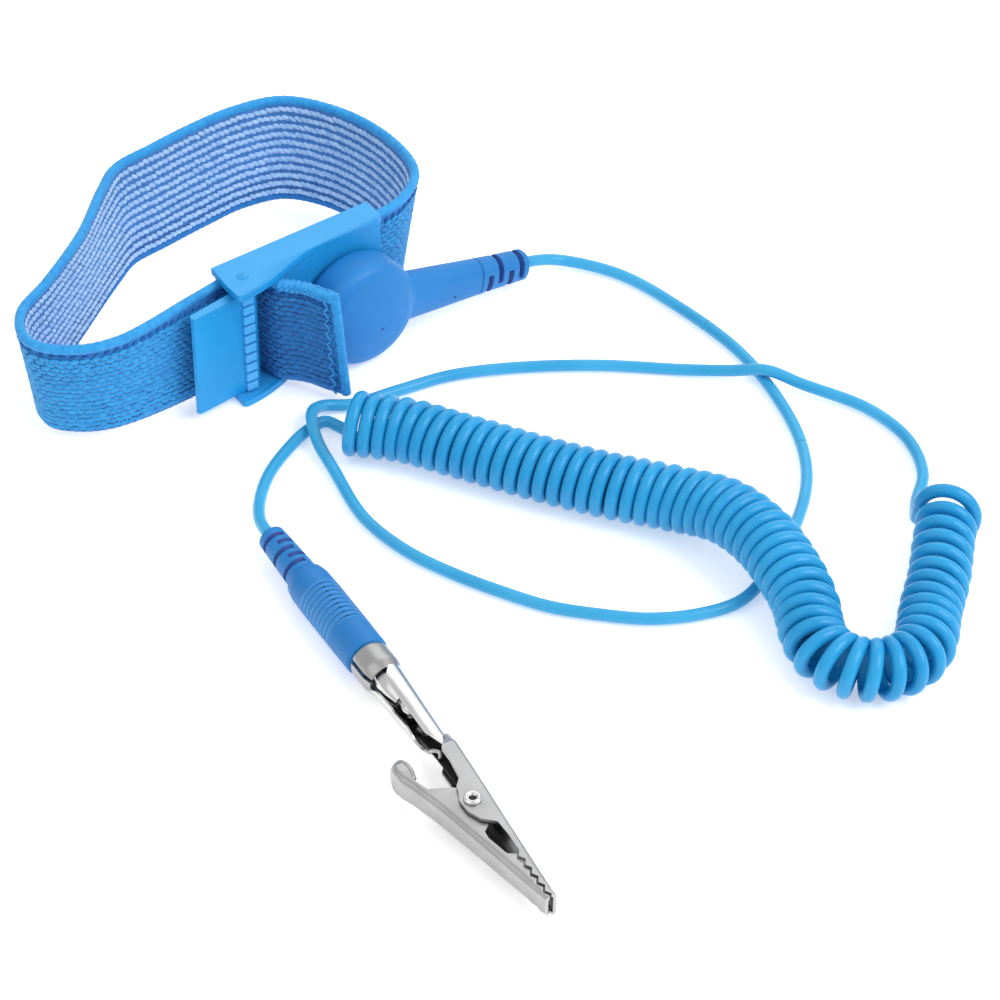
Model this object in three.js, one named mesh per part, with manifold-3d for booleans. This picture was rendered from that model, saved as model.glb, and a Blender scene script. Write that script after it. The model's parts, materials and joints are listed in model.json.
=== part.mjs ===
// Anti-static wrist strap: an elastic band with a lever buckle, a cord that snaps on and is coiled in its middle,
// and a banana plug that carries a crocodile clip. It lies on a table, with the band on its edge.
// Millimetres, +Z up. Paths over the table are in layout coordinates; each unit has its own group.
import * as THREE from "three";
import { mergeVertices } from "three/addons/utils/BufferGeometryUtils.js";
import Module from "manifold-3d";

const wasm = await Module();
wasm.setup();

// ---- Driving dimensions -------------------------------------------------------------------------

const CORD_R = 1.1;
const CLEAR = 0.3; // gap kept between a piece and its neighbour
const SHEET = 0.6; // clip sheet steel

const BAND = { thick: 1.9, low: 1.7, high: 23.7 };

// Buckle frame of reference: x = out from the wrist, y = along the buckle, z = up.
const BUCKLE = { x: -52.5, y: 35.3, turn: -53, long: 34.5, high: 25.4, wall: 1.4, deep: 6, ear: 10.6 };
const LEVER = { out: 5.7, along: 3.1, hub: 2.3, pin: 1.05, flap: 9, teeth: 9 };
const STUD = { along: 25.5, up: 10.9, neck: 3.0, bulge: 3.4 };

// Connector frame of reference: x = out from the wrist, y = from the stud towards the cord.
const SNAP = { back: 6.7, front: 14.8, disc: 10.5, droop: -10, axis: 10.2, reach: 38.5 };

const COIL = { wire: 1.05, ring: 4.9, lastRing: 4.3, pitch: 2.75, flare: 1.1 };

// Plug frame of reference: x = from the grip's mouth towards the clip's tip, z = up from the table.
const PLUG = { x: -22.2, y: -46.2, turn: -60.3, up: 4.1, rear: -36 };
const PIVOT = { x: 40.9, y: -2.8 };

// ---- Materials ----------------------------------------------------------------------------------

const finish = (color, roughness, metalness = 0) =>
  new THREE.MeshStandardMaterial({ color, roughness, metalness });
const bandBlue = finish(0x2f9fe6, 0.9);
const plasticBlue = finish(0x3aa9ee, 0.4);
const connectorBlue = finish(0x3f86d8, 0.5);
const cordBlue = finish(0x35aaf0, 0.35);
const steel = finish(0xc4c4c4, 0.25, 1);
const brass = finish(0xc9a85a, 0.3, 1);
const copper = finish(0xc27a4e, 0.4, 1);
const resistorBlue = finish(0x7fb6c9, 0.5);

// ---- Solid helpers ------------------------------------------------------------------------------

// A closed geometry as a manifold-3d solid with its faces turned outwards.
function solid(geometry) {
  const bare = geometry.clone();
  bare.deleteAttribute("normal");
  bare.deleteAttribute("uv");
  const merged = mergeVertices(bare, 1e-4);
  const vertProperties = new Float32Array(merged.attributes.position.array);
  const triVerts = new Uint32Array(merged.index.array);
  const made = new wasm.Manifold(new wasm.Mesh({ numProp: 3, vertProperties, triVerts }));
  if (made.volume() > 0) return made;
  triVerts.reverse();
  return new wasm.Manifold(new wasm.Mesh({ numProp: 3, vertProperties, triVerts }));
}

function geometryOf(made) {
  const mesh = made.getMesh();
  const geometry = new THREE.BufferGeometry();
  geometry.setAttribute("position", new THREE.BufferAttribute(mesh.vertProperties, 3));
  geometry.setIndex(new THREE.BufferAttribute(mesh.triVerts, 1));
  geometry.computeVertexNormals();
  return geometry;
}

const join = (first, ...rest) =>
  geometryOf(rest.reduce((sum, next) => sum.add(solid(next)), solid(first)));
const cut = (first, ...rest) =>
  geometryOf(rest.reduce((left, next) => left.subtract(solid(next)), solid(first)));
const common = (first, second) => geometryOf(solid(first).intersect(solid(second)));

// Turns a geometry made along Y so that it lies along the named axis.
function along(axis, geometry) {
  if (axis === "x") geometry.rotateZ(-Math.PI / 2);
  if (axis === "z") geometry.rotateX(Math.PI / 2);
  return geometry;
}

function rod(axis, radius, from, to, sides = 24) {
  const geometry = new THREE.CylinderGeometry(radius, radius, to - from, sides);
  geometry.translate(0, (from + to) / 2, 0);
  return along(axis, geometry);
}

// A turned piece from a profile of [radius, distance along the axis] points.
function turned(axis, profile, sides = 32) {
  const points = profile.map(([r, h]) => new THREE.Vector2(r, h));
  return along(axis, new THREE.LatheGeometry(points, sides));
}

// A turned ring whose profile closes on itself.
const turnedRing = (axis, profile, sides) => turned(axis, [...profile, profile[0]], sides);

function block([x0, x1], [y0, y1], [z0, z1]) {
  const geometry = new THREE.BoxGeometry(x1 - x0, y1 - y0, z1 - z0);
  return geometry.translate((x0 + x1) / 2, (y0 + y1) / 2, (z0 + z1) / 2);
}

// A flat outline raised from one height to another.
function raised(outline, from, to, curveSegments = 8) {
  const isShape = outline instanceof THREE.Shape;
  const shape = isShape ? outline : new THREE.Shape(outline.map((p) => new THREE.Vector2(...p)));
  const geometry = new THREE.ExtrudeGeometry(shape, { depth: to - from, bevelEnabled: false, curveSegments });
  return geometry.translate(0, 0, from);
}

// A side outline of [x, z] points, pulled through the width in y.
const sideways = (outline, from, to) =>
  raised(outline, -to, -from).rotateX(Math.PI / 2);

function tube(curve, radius, steps, sides = 6) {
  const ring = new THREE.Shape();
  for (let i = 0; i < sides; i += 1) {
    const a = (2 * Math.PI * i) / sides;
    ring[i ? "lineTo" : "moveTo"](radius * Math.cos(a), radius * Math.sin(a));
  }
  return new THREE.ExtrudeGeometry(ring, { steps, extrudePath: curve, bevelEnabled: false });
}

const spline = (points) =>
  new THREE.CatmullRomCurve3(points.map((p) => (p.isVector3 ? p : new THREE.Vector3(...p))), false, "centripetal");

// A strip of even thickness that follows a plan path, standing on its edge. The path's z is how far
// the upper edge leans to the right of the path, and the lower edge to its left.
function ribbon(path, thick, low, high, steps) {
  const positions = [];
  const index = [];
  for (let i = 0; i <= steps; i += 1) {
    const p = path.getPointAt(i / steps);
    const t = path.getTangentAt(i / steps).setZ(0).normalize();
    const corner = (out, z) => positions.push(p.x + t.y * out, p.y - t.x * out, z);
    corner(-thick / 2 - p.z, low);
    corner(thick / 2 - p.z, low);
    corner(thick / 2 + p.z, high);
    corner(-thick / 2 + p.z, high);
  }
  for (let i = 0; i < steps; i += 1) {
    for (let k = 0; k < 4; k += 1) {
      const [a, b] = [4 * i + k, 4 * i + ((k + 1) % 4)];
      index.push(a, a + 4, b + 4, a, b + 4, b);
    }
  }
  const end = 4 * steps;
  index.push(0, 1, 2, 0, 2, 3, end, end + 2, end + 1, end, end + 3, end + 2);
  const geometry = new THREE.BufferGeometry();
  geometry.setAttribute("position", new THREE.Float32BufferAttribute(positions, 3));
  geometry.setIndex(index);
  return geometry;
}

// Oval sections of {y, wide, deep} joined along Y; wide is across in z, deep in x about the centre.
function loft(sections, centre, sides = 20) {
  const positions = [];
  const index = [];
  sections.forEach((s) => {
    for (let i = 0; i < sides; i += 1) {
      const a = (2 * Math.PI * i) / sides;
      positions.push(centre + (s.deep / 2) * Math.cos(a), s.y, (s.wide / 2) * Math.sin(a));
    }
  });
  const last = sections.length - 1;
  for (let k = 0; k < last; k += 1) {
    for (let i = 0; i < sides; i += 1) {
      const j = (i + 1) % sides;
      const [a, b, c, d] = [k * sides + i, k * sides + j, (k + 1) * sides + j, (k + 1) * sides + i];
      index.push(a, b, c, a, c, d);
    }
  }
  for (let i = 1; i < sides - 1; i += 1) {
    index.push(0, i + 1, i);
    index.push(last * sides, last * sides + i, last * sides + i + 1);
  }
  const geometry = new THREE.BufferGeometry();
  geometry.setAttribute("position", new THREE.Float32BufferAttribute(positions, 3));
  geometry.setIndex(index);
  return geometry;
}

// ---- Groups -------------------------------------------------------------------------------------

const radians = THREE.MathUtils.degToRad;
const layout = new THREE.Group();

const buckle = new THREE.Group();
buckle.position.set(BUCKLE.x, BUCKLE.y, 0);
buckle.rotation.z = radians(BUCKLE.turn);
layout.add(buckle);

const stud = new THREE.Group();
stud.position.set(0, STUD.along, STUD.up);
buckle.add(stud);

const connector = new THREE.Group();
connector.rotation.x = radians(SNAP.droop);
stud.add(connector);

const plug = new THREE.Group();
plug.position.set(PLUG.x, PLUG.y, 0);
plug.rotation.z = radians(PLUG.turn);
layout.add(plug);

layout.updateMatrixWorld(true);

function add(group, name, geometry, material) {
  const mesh = new THREE.Mesh(geometryOf(solid(geometry)), material);
  mesh.name = name;
  group.add(mesh);
}

const place = (group, x, y, z) => group.localToWorld(new THREE.Vector3(x, y, z));
const inBuckle = (out, far) => place(buckle, out, far, 0);

// ---- Elastic band -------------------------------------------------------------------------------

function elasticBand() {
  // The third number is the upper edge's outward lean.
  const path = spline([
    inBuckle(2.05, 20.5),
    inBuckle(2.05, 28),
    inBuckle(2.05, 35),
    [-19.6, 60, 0.9],
    [-18, 68.5, 1.9],
    [-22.6, 79, 1.7],
    [-31.5, 88, 1.3],
    [-42.3, 92, 1.2],
    [-50.9, 88.7, 1.1],
    [-58, 83, 1.3],
    [-65.8, 75.6, 1.3],
    [-71.7, 69.6, 1.2],
    [-74, 63, 0.8],
    [-77.6, 49, -0.2],
    [-82.4, 34, 0],
    [-85.2, 24.5, 1],
    [-82.6, 17.6, 1.8],
    [-76, 15.9, 1.9],
    [-69, 17.8, 1.5],
    inBuckle(3.3, -6.5),
    inBuckle(2.3, 0),
    inBuckle(2.0, 4.6),
    inBuckle(3.6, 7.6),
    inBuckle(6.4, 8.1),
    inBuckle(8.9, 8.7),
    inBuckle(10.9, 10.5),
    inBuckle(13.2, 12.1),
    inBuckle(16.6, 13.5),
    inBuckle(20.2, 15.4),
  ]);
  path.arcLengthDivisions = 1200;
  const strip = ribbon(path, BAND.thick, BAND.low, BAND.high, 190);
  const rivetHole = rod("x", 1.6, -1, 5, 16).translate(0, STUD.along, STUD.up).applyMatrix4(buckle.matrixWorld);
  add(layout, "elastic_band", cut(strip, rivetHole), bandBlue);
}

// ---- Buckle -------------------------------------------------------------------------------------

function wallOutline() {
  const { long, deep, ear } = BUCKLE;
  const shape = new THREE.Shape();
  shape.moveTo(0, 0);
  shape.lineTo(deep, -0.8);
  shape.lineTo(ear - 0.8, -0.9);
  shape.quadraticCurveTo(ear, -0.9, ear, 0);
  shape.bezierCurveTo(ear - 0.2, 5, 9, 8.5, 7.7, 12);
  shape.quadraticCurveTo(deep, 16.5, deep, 20);
  shape.lineTo(deep, long - 1.8);
  shape.quadraticCurveTo(deep, long, deep - 1.8, long);
  shape.lineTo(0, long);
  shape.closePath();
  return shape;
}

function buckleFrame() {
  const { long, high, wall, deep } = BUCKLE;
  const lower = raised(wallOutline(), 0, wall);
  const upper = raised(wallOutline(), high - wall, high);
  const front = block([4.4, deep], [10.8, long - 1], [wall / 2, high - wall / 2]);
  const clampRib = block([3.3, 5], [long - 3, long - 0.6], [wall / 2, high - wall / 2]);
  const pinHole = rod("z", LEVER.pin + 0.25, -1, high + 1).translate(LEVER.out, LEVER.along, 0);
  const rivetHole = rod("x", 1.6, 2, 8, 16).translate(0, STUD.along, STUD.up);
  add(buckle, "buckle_frame", cut(join(lower, upper, front, clampRib), pinHole, rivetHole), plasticBlue);
}

function contactPlate() {
  const { long, high, wall } = BUCKLE;
  const plate = block([0, 0.8], [0.8, long - 0.4], [wall + CLEAR, high - wall - CLEAR]);
  const rivetHole = rod("x", 3.3, -1, 2).translate(0, STUD.along, STUD.up);
  add(buckle, "contact_plate", cut(plate, rivetHole), steel);
}

function claspLever() {
  const { out, along: at, hub, pin, flap, teeth } = LEVER;
  const low = BUCKLE.wall + CLEAR;
  const high = BUCKLE.high - low;
  const outline = new THREE.Shape();
  outline.moveTo(out + hub, at + 0.4);
  outline.lineTo(out + hub + 0.2, at - 2.4);
  outline.lineTo(out + 2.1, -flap + 0.7);
  outline.quadraticCurveTo(out + 1.9, -flap, out + 1.2, -flap);
  outline.lineTo(out + 0.4, -flap + 0.5);
  outline.lineTo(out + 0.3, at - 3.2);
  outline.lineTo(out - 1.3, at - 1.9);
  outline.absarc(out, at, hub, -Math.PI * 0.69, Math.PI * 0.1, true);
  outline.closePath();
  const body = raised(outline, low, high);
  const trunnions = rod("z", pin, 0.2, BUCKLE.high - 0.2).translate(out, at, 0);
  const pitch = (high - low) / teeth;
  const bites = [];
  for (let i = 0; i < teeth; i += 1) {
    const z = low + pitch * (i + 0.5);
    bites.push(block([out + 1.4, out + 3.2], [at - 2.1, at + 0.2], [z - pitch * 0.33, z + pitch * 0.33]));
  }
  add(buckle, "clasp_lever", join(body, trunnions, ...bites), plasticBlue);
}

function studAndRivet() {
  const { neck, bulge } = STUD;
  const studProfile = [
    [1.5, 6.15], [4.6, 6.15], [4.6, 6.5], [neck, 6.6], [neck, 7.4],
    [bulge, 7.9], [bulge, 8.5], [2.6, 9.3], [1.5, 9.4],
  ];
  add(stud, "snap_stud", turnedRing("x", studProfile), brass);
  const rivetProfile = [[0, 0.05], [3, 0.05], [3, 0.75], [1.2, 0.8], [1.2, 9], [0, 9.1]];
  add(stud, "stud_rivet", turned("x", rivetProfile, 24), steel);
}

// ---- Snap connector -----------------------------------------------------------------------------

// The stem's overall width and depth at a distance from the stud, down to the relief's end.
const STEM = [
  { y: 5, wide: 10.4, deep: 5.6 },
  { y: 10, wide: 10.2, deep: 5.6 },
  { y: 18, wide: 8.9, deep: 5.5 },
  { y: 26, wide: 7.4, deep: 5.4 },
  { y: 32, wide: 6.4, deep: 5.2 },
  { y: SNAP.reach, wide: 5.8, deep: 5 },
];

function snapCover() {
  const { back, front, disc, axis, reach } = SNAP;
  const dome = [
    [0, back], [disc - 0.5, back], [disc, back + 0.5], [disc, front - 2.6],
    [disc - 0.7, front - 1.2], [disc - 2.4, front - 0.4], [0, front],
  ];
  const shell = join(turned("x", dome, 48), loft(STEM, axis));
  const pocket = rod("x", 6.2, back - 1, 10.8, 32); // its roof clears the socket cup
  const channel = rod("y", 1.7, 3, 27).translate(axis, 0, 0);
  const cordBore = rod("y", CORD_R + CLEAR, 20, reach + 1, 16).translate(axis, 0, 0);
  const slots = [];
  for (let i = 0; i < 4; i += 1) {
    const side = i % 2 ? -1 : 1;
    const y = 28.4 + 2.5 * i;
    slots.push(block([axis - 4, axis + 4], [y, y + 1.1], side > 0 ? [1.7, 5] : [-5, -1.7]));
  }
  add(connector, "snap_cover", cut(shell, pocket, channel, cordBore, ...slots), connectorBlue);
}

function snapInternals() {
  const { axis, reach } = SNAP;
  const cup = [[0, 10.4], [5.8, 10.4], [5.8, 7], [4.4, 7], [4.4, 9.9], [0, 9.9]];
  add(connector, "snap_socket", turned("x", cup), steel);
  const ring = new THREE.TorusGeometry(3.88, 0.22, 8, 32).rotateY(Math.PI / 2).translate(8.2, 0, 0);
  add(stud, "socket_spring", ring, steel);
  const lead = (from, to) => rod("y", 0.3, from, to, 10).translate(axis, 0, 0);
  add(connector, "resistor_lead_socket", lead(6.1, 11.7), steel);
  const body = [
    [0, 12], [0.8, 12], [1.2, 12.4], [1.2, 13.4], [1, 13.8],
    [1, 16.4], [1.2, 16.8], [1.2, 17.8], [0.8, 18.2], [0, 18.2],
  ];
  add(connector, "resistor_body", turned("y", body, 20).translate(axis, 0, 0), resistorBlue);
  add(connector, "resistor_lead_cord", lead(18.5, 22), steel);
  const crimp = [[0.65, 21], [0.95, 21], [0.95, 25.4], [0.65, 25.4]];
  add(connector, "snap_crimp", turnedRing("y", crimp, 16).translate(axis, 0, 0), brass);
  add(connector, "snap_conductor", lead(22.3, 26.4), copper);
  const cordEnd = rod("y", CORD_R, 26.7, reach, 12).translate(axis, 0, 0);
  add(connector, "snap_cord_end", cordEnd, cordBlue);
}

// ---- Cord ---------------------------------------------------------------------------------------

// A helix round a curved axis. Its turns spread in a bend so that they don't meet on its inside,
// narrow towards the far end, and the last turn at each end stands loose.
class CoilPath extends THREE.Curve {
  constructor(axis, samples = 400) {
    super();
    this.axis = axis;
    this.length = axis.getLength();
    this.turns = [0];
    for (let i = 1; i <= samples; i += 1) {
      const before = axis.getTangentAt(Math.max(0, (i - 8) / samples));
      const after = axis.getTangentAt(Math.min(1, (i + 8) / samples));
      const bend = before.angleTo(after) / ((16 * this.length) / samples);
      const needed = (2.2 * COIL.wire) / (1 - bend * (this.ringAt(i / samples) + 0.2));
      const pitch = Math.max(COIL.pitch, needed);
      this.turns.push(this.turns[i - 1] + this.length / samples / pitch);
    }
    this.total = Math.round(this.turns[samples]) - 0.25; // it ends on its way down
    this.scale = this.total / this.turns[samples];
  }

  // The helix's radius at a share of the axis.
  ringAt(u) {
    return COIL.ring + (COIL.lastRing - COIL.ring) * THREE.MathUtils.smoothstep(u, 0.5, 0.75);
  }

  // Where along the axis (0 to 1) the helix has made this many turns.
  axisAt(turn) {
    const wanted = turn / this.scale;
    const next = Math.max(1, this.turns.findIndex((made) => made >= wanted - 1e-9));
    const [low, high] = [this.turns[next - 1], this.turns[next]];
    return (next - 1 + (wanted - low) / (high - low)) / (this.turns.length - 1);
  }

  getPoint(t, target = new THREE.Vector3()) {
    const turn = t * this.total;
    const u = Math.min(1, Math.max(0, this.axisAt(turn)));
    const forward = this.axis.getTangentAt(u);
    const side = new THREE.Vector3(-forward.y, forward.x, 0).normalize();
    const loose = THREE.MathUtils.smoothstep(1.2 - Math.min(turn, this.total - turn), 0, 1.2);
    const ring = this.ringAt(u) + COIL.flare * loose;
    const a = 2 * Math.PI * turn;
    target.copy(this.axis.getPointAt(u));
    target.addScaledVector(side, -ring * Math.sin(a));
    target.addScaledVector(forward, COIL.flare * loose * (turn < 2 ? -1 : 1));
    target.z += ring + COIL.wire + 0.1 - ring * Math.cos(a);
    return target;
  }
}

// The third number is the coil's height over the table.
function coilAxis() {
  const bend = [];
  for (let degrees = 185; degrees <= 335; degrees += 30) {
    const a = radians(degrees);
    bend.push([62.4 + 9.6 * Math.cos(a), -41.4 + 9.6 * Math.sin(a), 0]);
  }
  const axis = spline([
    [-27, 14.3, 0],
    [-17, 12.2, 0],
    [-7, 7.8, 0],
    [7, 1.5, 0],
    [19, -3.2, 0],
    [31, -7.7, 0.6],
    [39.5, -13.6, 2.6],
    [45.5, -21, 2.8],
    [50, -30, 1.8],
    [52, -35.5, 0.6],
    ...bend,
    [73.4, -35.5, 0],
    [75.4, -28, 0],
    [77, -19, 0],
    [78.8, -9.5, 0],
  ]);
  axis.arcLengthDivisions = 800;
  return axis;
}

function cord() {
  const coil = new CoilPath(coilAxis());
  coil.arcLengthDivisions = Math.round(coil.total * 24);
  add(layout, "cord_coil", tube(coil, COIL.wire, Math.round(coil.total * 11), 5), cordBlue);

  const onTable = CORD_R + 0.1;
  const over = onTable + 2.5; // over another strand

  // A point past one end of the coil, in line with its wire.
  const past = (end, distance) =>
    coil.getPoint(end).addScaledVector(coil.getTangent(end), end === 1 ? distance : -distance);

  // From the snap connector, round under the coil, back past the tail and over to the coil's right end.
  const lead = spline([
    place(connector, SNAP.axis, SNAP.reach + CLEAR, 0),
    place(connector, SNAP.axis, SNAP.reach + 3, 0),
    [12, 69.6, 1.9],
    [23, 66, onTable],
    [34.2, 55.4, onTable],
    [44.6, 42, onTable],
    [50.7, 29, onTable],
    [54.5, 15.6, onTable],
    [55, 4, onTable],
    [52.3, -8, onTable],
    [47.5, -19.5, onTable],
    [41.5, -28.5, onTable],
    [34.3, -31.9, onTable],
    [25.7, -33.1, onTable],
    [17, -32, onTable],
    [8.6, -30, onTable],
    [0, -26, onTable],
    [-8.7, -21, onTable],
    [-16.5, -15.2, onTable],
    [-24, -6.4, onTable],
    [-29.8, 6.6, onTable + 0.2],
    [-33.1, 14, onTable + 1.2],
    [-34.3, 20, over],
    [-32.5, 24.5, onTable + 0.8],
    [-27.3, 25.9, onTable],
    [-18.5, 30.2, onTable],
    [-9, 34.6, onTable],
    [3.7, 37, onTable],
    [18.6, 37.6, onTable],
    [34, 36.3, onTable],
    [43, 34.7, onTable + 1],
    [49.3, 32.9, over],
    [55.6, 30.8, onTable + 1],
    [67.4, 24.8, onTable],
    [74, 16, onTable],
    [76, 6, onTable],
    [74.2, -1.5, onTable],
    past(1, 3),
    past(1, CLEAR),
  ]);
  lead.arcLengthDivisions = 1500;
  add(layout, "cord_lead", tube(lead, CORD_R, 170, 6), cordBlue);

  // From the coil's left end, under the lead and down to the plug.
  const inPlug = (x) => place(plug, x, 0, PLUG.up);
  const plugRun = spline([
    past(0, CLEAR),
    past(0, 2.5),
    [-29.6, 19.6, onTable],
    [-32, 20.9, onTable],
    [-35.2, 18.2, onTable],
    [-38.4, 13, onTable],
    [-41.4, 6, onTable],
    [-42.7, -1.5, onTable + 0.3],
    [-42.3, -8.8, onTable + 1.6],
    inPlug(PLUG.rear - 1),
    inPlug(PLUG.rear + 3),
    inPlug(PLUG.rear + 10),
    inPlug(-17.8),
  ]);
  plugRun.arcLengthDivisions = 400;
  add(layout, "cord_plug_run", tube(plugRun, CORD_R, 40, 6), cordBlue);
}

// ---- Banana plug --------------------------------------------------------------------------------

function bananaPlug() {
  const { up, rear } = PLUG;
  const lift = (geometry) => geometry.translate(0, 0, up);
  const grip = [
    [1.45, rear], [2.45, rear], [2.9, -23.4], [3.5, -22.9], [3.9, -21.6],
    [4, -10], [3.9, 0], [1.9, 0], [1.9, -6], [2.5, -6], [2.5, -16], [1.45, -16],
  ];
  const slots = [];
  for (let i = 0; i < 4; i += 1) {
    const x = rear + 2.2 + 2.4 * i;
    slots.push(block([x, x + 1], [-4, 4], i % 2 ? [up + 1.7, up + 5] : [up - 5, up - 1.7]));
  }
  add(plug, "plug_grip", cut(lift(turnedRing("x", grip, 36)), ...slots), connectorBlue);
  const pin = [
    [0, -13.5], [1.6, -13.5], [1.6, -9], [2.2, -9], [2.2, -6.3], [1.5, -6.3],
    [1.5, 2.6], [1.05, 2.6], [1.05, 12.8], [1.5, 12.8], [1.4, 15], [0.8, 16], [0, 16.2],
  ];
  const bore = rod("x", 0.85, -15, -9.8, 12);
  add(plug, "banana_pin", lift(cut(turned("x", pin, 28), bore)), steel);
  const cage = [
    [1.35, 3], [1.7, 3], [2.3, 6], [2.3, 9.5], [1.7, 12.5], [1.35, 12.5], [1.95, 9.3], [1.95, 6.2],
  ];
  add(plug, "banana_spring", lift(turnedRing("x", cage, 24)), steel);
  const crimp = [[1.85, -13], [2.2, -13], [2.2, -10], [1.85, -10]];
  add(plug, "plug_crimp", lift(turnedRing("x", crimp, 24)), brass);
  add(plug, "plug_conductor", lift(rod("x", 0.5, -17.5, -10.1, 10)), copper);
}

// ---- Crocodile clip -----------------------------------------------------------------------------

// Points of a saw edge from one x to another, rising from the base line by the tooth height.
function saw(from, to, base, height, count) {
  const points = [];
  const step = (to - from) / count;
  for (let i = 0; i < count; i += 1) {
    points.push([from + step * i, base], [from + step * (i + 0.5), base + height]);
  }
  points.push([to, base]);
  return points;
}

const JAW = { tip: 64.5, teethFrom: 54.5, teeth: 6, meet: -2.3 };

// The sheet channel of a jaw: the outline in plan, narrowed towards the tip, less its hollow.
function channel(outline, hollow, low, high, tipIn) {
  const narrowed = (inset) => [
    [-5, low + inset], [50, low + inset], [JAW.tip + 1, low + tipIn + inset],
    [JAW.tip + 1, high - tipIn - inset], [50, high - inset], [-5, high - inset],
  ];
  const outside = common(raised(outline, low, high), sideways(narrowed(0), -20, 20));
  const inside = common(raised(hollow, low - 1, high + 1), sideways(narrowed(SHEET), -20, 20));
  return cut(outside, inside);
}

function fixedJaw() {
  const { up } = PLUG;
  const { tip, teethFrom, teeth, meet } = JAW;
  const [low, high] = [0.9, 7.3];
  const outline = [
    [23, -2.4], [28, -1.6], [35.3, -2.4], [37.1, -4.2], [39, -5], [42.8, -5], [45.4, -3.9], [47.3, -1.9],
    [50.5, -1.6], [53.4, -1.9],
    ...saw(teethFrom, tip, meet + 0.1, 0.5, teeth),
    [tip + 0.3, -1], [48.7, 0.1], [38.4, 1.2], [28, 2.3], [23, 2.4],
  ];
  const hollow = [
    [22, -9], [22, 1.8], [28, 1.7], [38.4, 0.6], [48.7, -0.5], [tip - 1.2, -1.5], [tip - 1.2, -9],
  ];
  const jaw = channel(outline, hollow, low, high, 1.5);
  const ring = [[2.75, 0.6], [3.35, 0.6], [3.35, 9], [2.75, 9]];
  const barrel = turnedRing("x", ring, 32).translate(0, 0, up);
  const seam = block([-1, 10], [-0.5, 0.5], [up + 1, up + 5]);
  const neckOuter = [[8, -3.2], [13, -3.2], [19, -2.4], [24, -2.4], [24, 2.4], [19, 2.4], [13, 3.2], [8, 3.2]];
  const neckInner = [[7, -2.7], [13, -2.7], [19, -1.8], [25, -1.8], [25, 1.8], [19, 1.8], [13, 2.7], [7, 2.7]];
  const neck = cut(raised(neckOuter, 0.8, 5.2), raised(neckInner, 1.4, 8));
  const pinHole = rod("z", 1.55, 0, 8).translate(PIVOT.x, PIVOT.y, 0);
  const bore = rod("x", 2.75, 0, 9.2, 32).translate(0, 0, up);
  add(plug, "fixed_jaw", cut(join(cut(barrel, seam), neck, jaw), bore, pinHole), steel);
}

function movingJaw() {
  const { tip, teethFrom, teeth, meet } = JAW;
  const [low, high] = [1.8, 6.4]; // its ears turn inside the fixed jaw's
  const outline = [
    [33, -9.3], [tip, -3.9], [tip + 0.3, -3.2],
    ...saw(tip, teethFrom, meet - 0.1, -0.5, teeth),
    [53.4, -3.4], [49.1, -4.5], [47.5, -4.3], [46.3, -2.8], [44.2, -1], [41.8, -0.2], [39, -0.4],
    [36.8, -2.6], [35.6, -5.8], [34.4, -7.6], [31, -8.3], [28.2, -8.3], [26.4, -9.6], [26.6, -10.4],
    [28.4, -10.4], [30.8, -9.9],
  ];
  const hollow = [
    [25, -1], [25, -9], [28.2, -9.6], [30.8, -9.3], [33, -8.7], [tip - 1.2, -3.4], [tip - 1.2, 4], [34, 4],
  ];
  const jaw = channel(outline, hollow, low, high, 0.3);
  const pinHole = rod("z", 1.55, 0, 9).translate(PIVOT.x, PIVOT.y, 0);
  add(plug, "moving_jaw", cut(jaw, pinHole), steel);
}

function rivetAndSpring() {
  const [low, high] = [0.45, 7.75];
  const rivet = [
    [0.8, low], [2.1, low], [2.1, low + 0.3], [1.3, low + 0.3],
    [1.3, high - 0.3], [2.1, high - 0.3], [2.1, high], [0.8, high],
  ];
  add(plug, "jaw_rivet", turnedRing("z", rivet, 24).translate(PIVOT.x, PIVOT.y, 0), steel);

  const turns = 3;
  const [springLow, springHigh] = [2.9, 5.3];
  const points = [new THREE.Vector3(PIVOT.x - 8.5, -0.3, springLow)];
  for (let i = 0; i <= turns * 8; i += 1) {
    const a = Math.PI / 2 - (i * Math.PI) / 4;
    const z = springLow + (i / (turns * 8)) * (springHigh - springLow);
    points.push(new THREE.Vector3(PIVOT.x + 2.1 * Math.cos(a), PIVOT.y + 2.1 * Math.sin(a), z));
  }
  const wire = spline(points);
  wire.arcLengthDivisions = 400;
  add(plug, "jaw_spring", tube(wire, 0.32, 54, 6), steel);
}

// ---- Assembly -----------------------------------------------------------------------------------

elasticBand();
buckleFrame();
contactPlate();
claspLever();
studAndRivet();
snapCover();
snapInternals();
cord();
bananaPlug();
fixedJaw();
movingJaw();
rivetAndSpring();

// The origin is the middle of the underside.
const strap = new THREE.Group();
strap.add(layout);
strap.updateMatrixWorld(true);
const bounds = new THREE.Box3().setFromObject(layout, true);
const middle = bounds.getCenter(new THREE.Vector3());
layout.position.set(-middle.x, -middle.y, -bounds.min.z);

export default strap;
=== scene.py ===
"""Looks of an anti-static wrist strap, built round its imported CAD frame. Lengths are in millimetres
until a mesh is made, and every unit's place comes from the frame's joints."""

import json
import math

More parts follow.
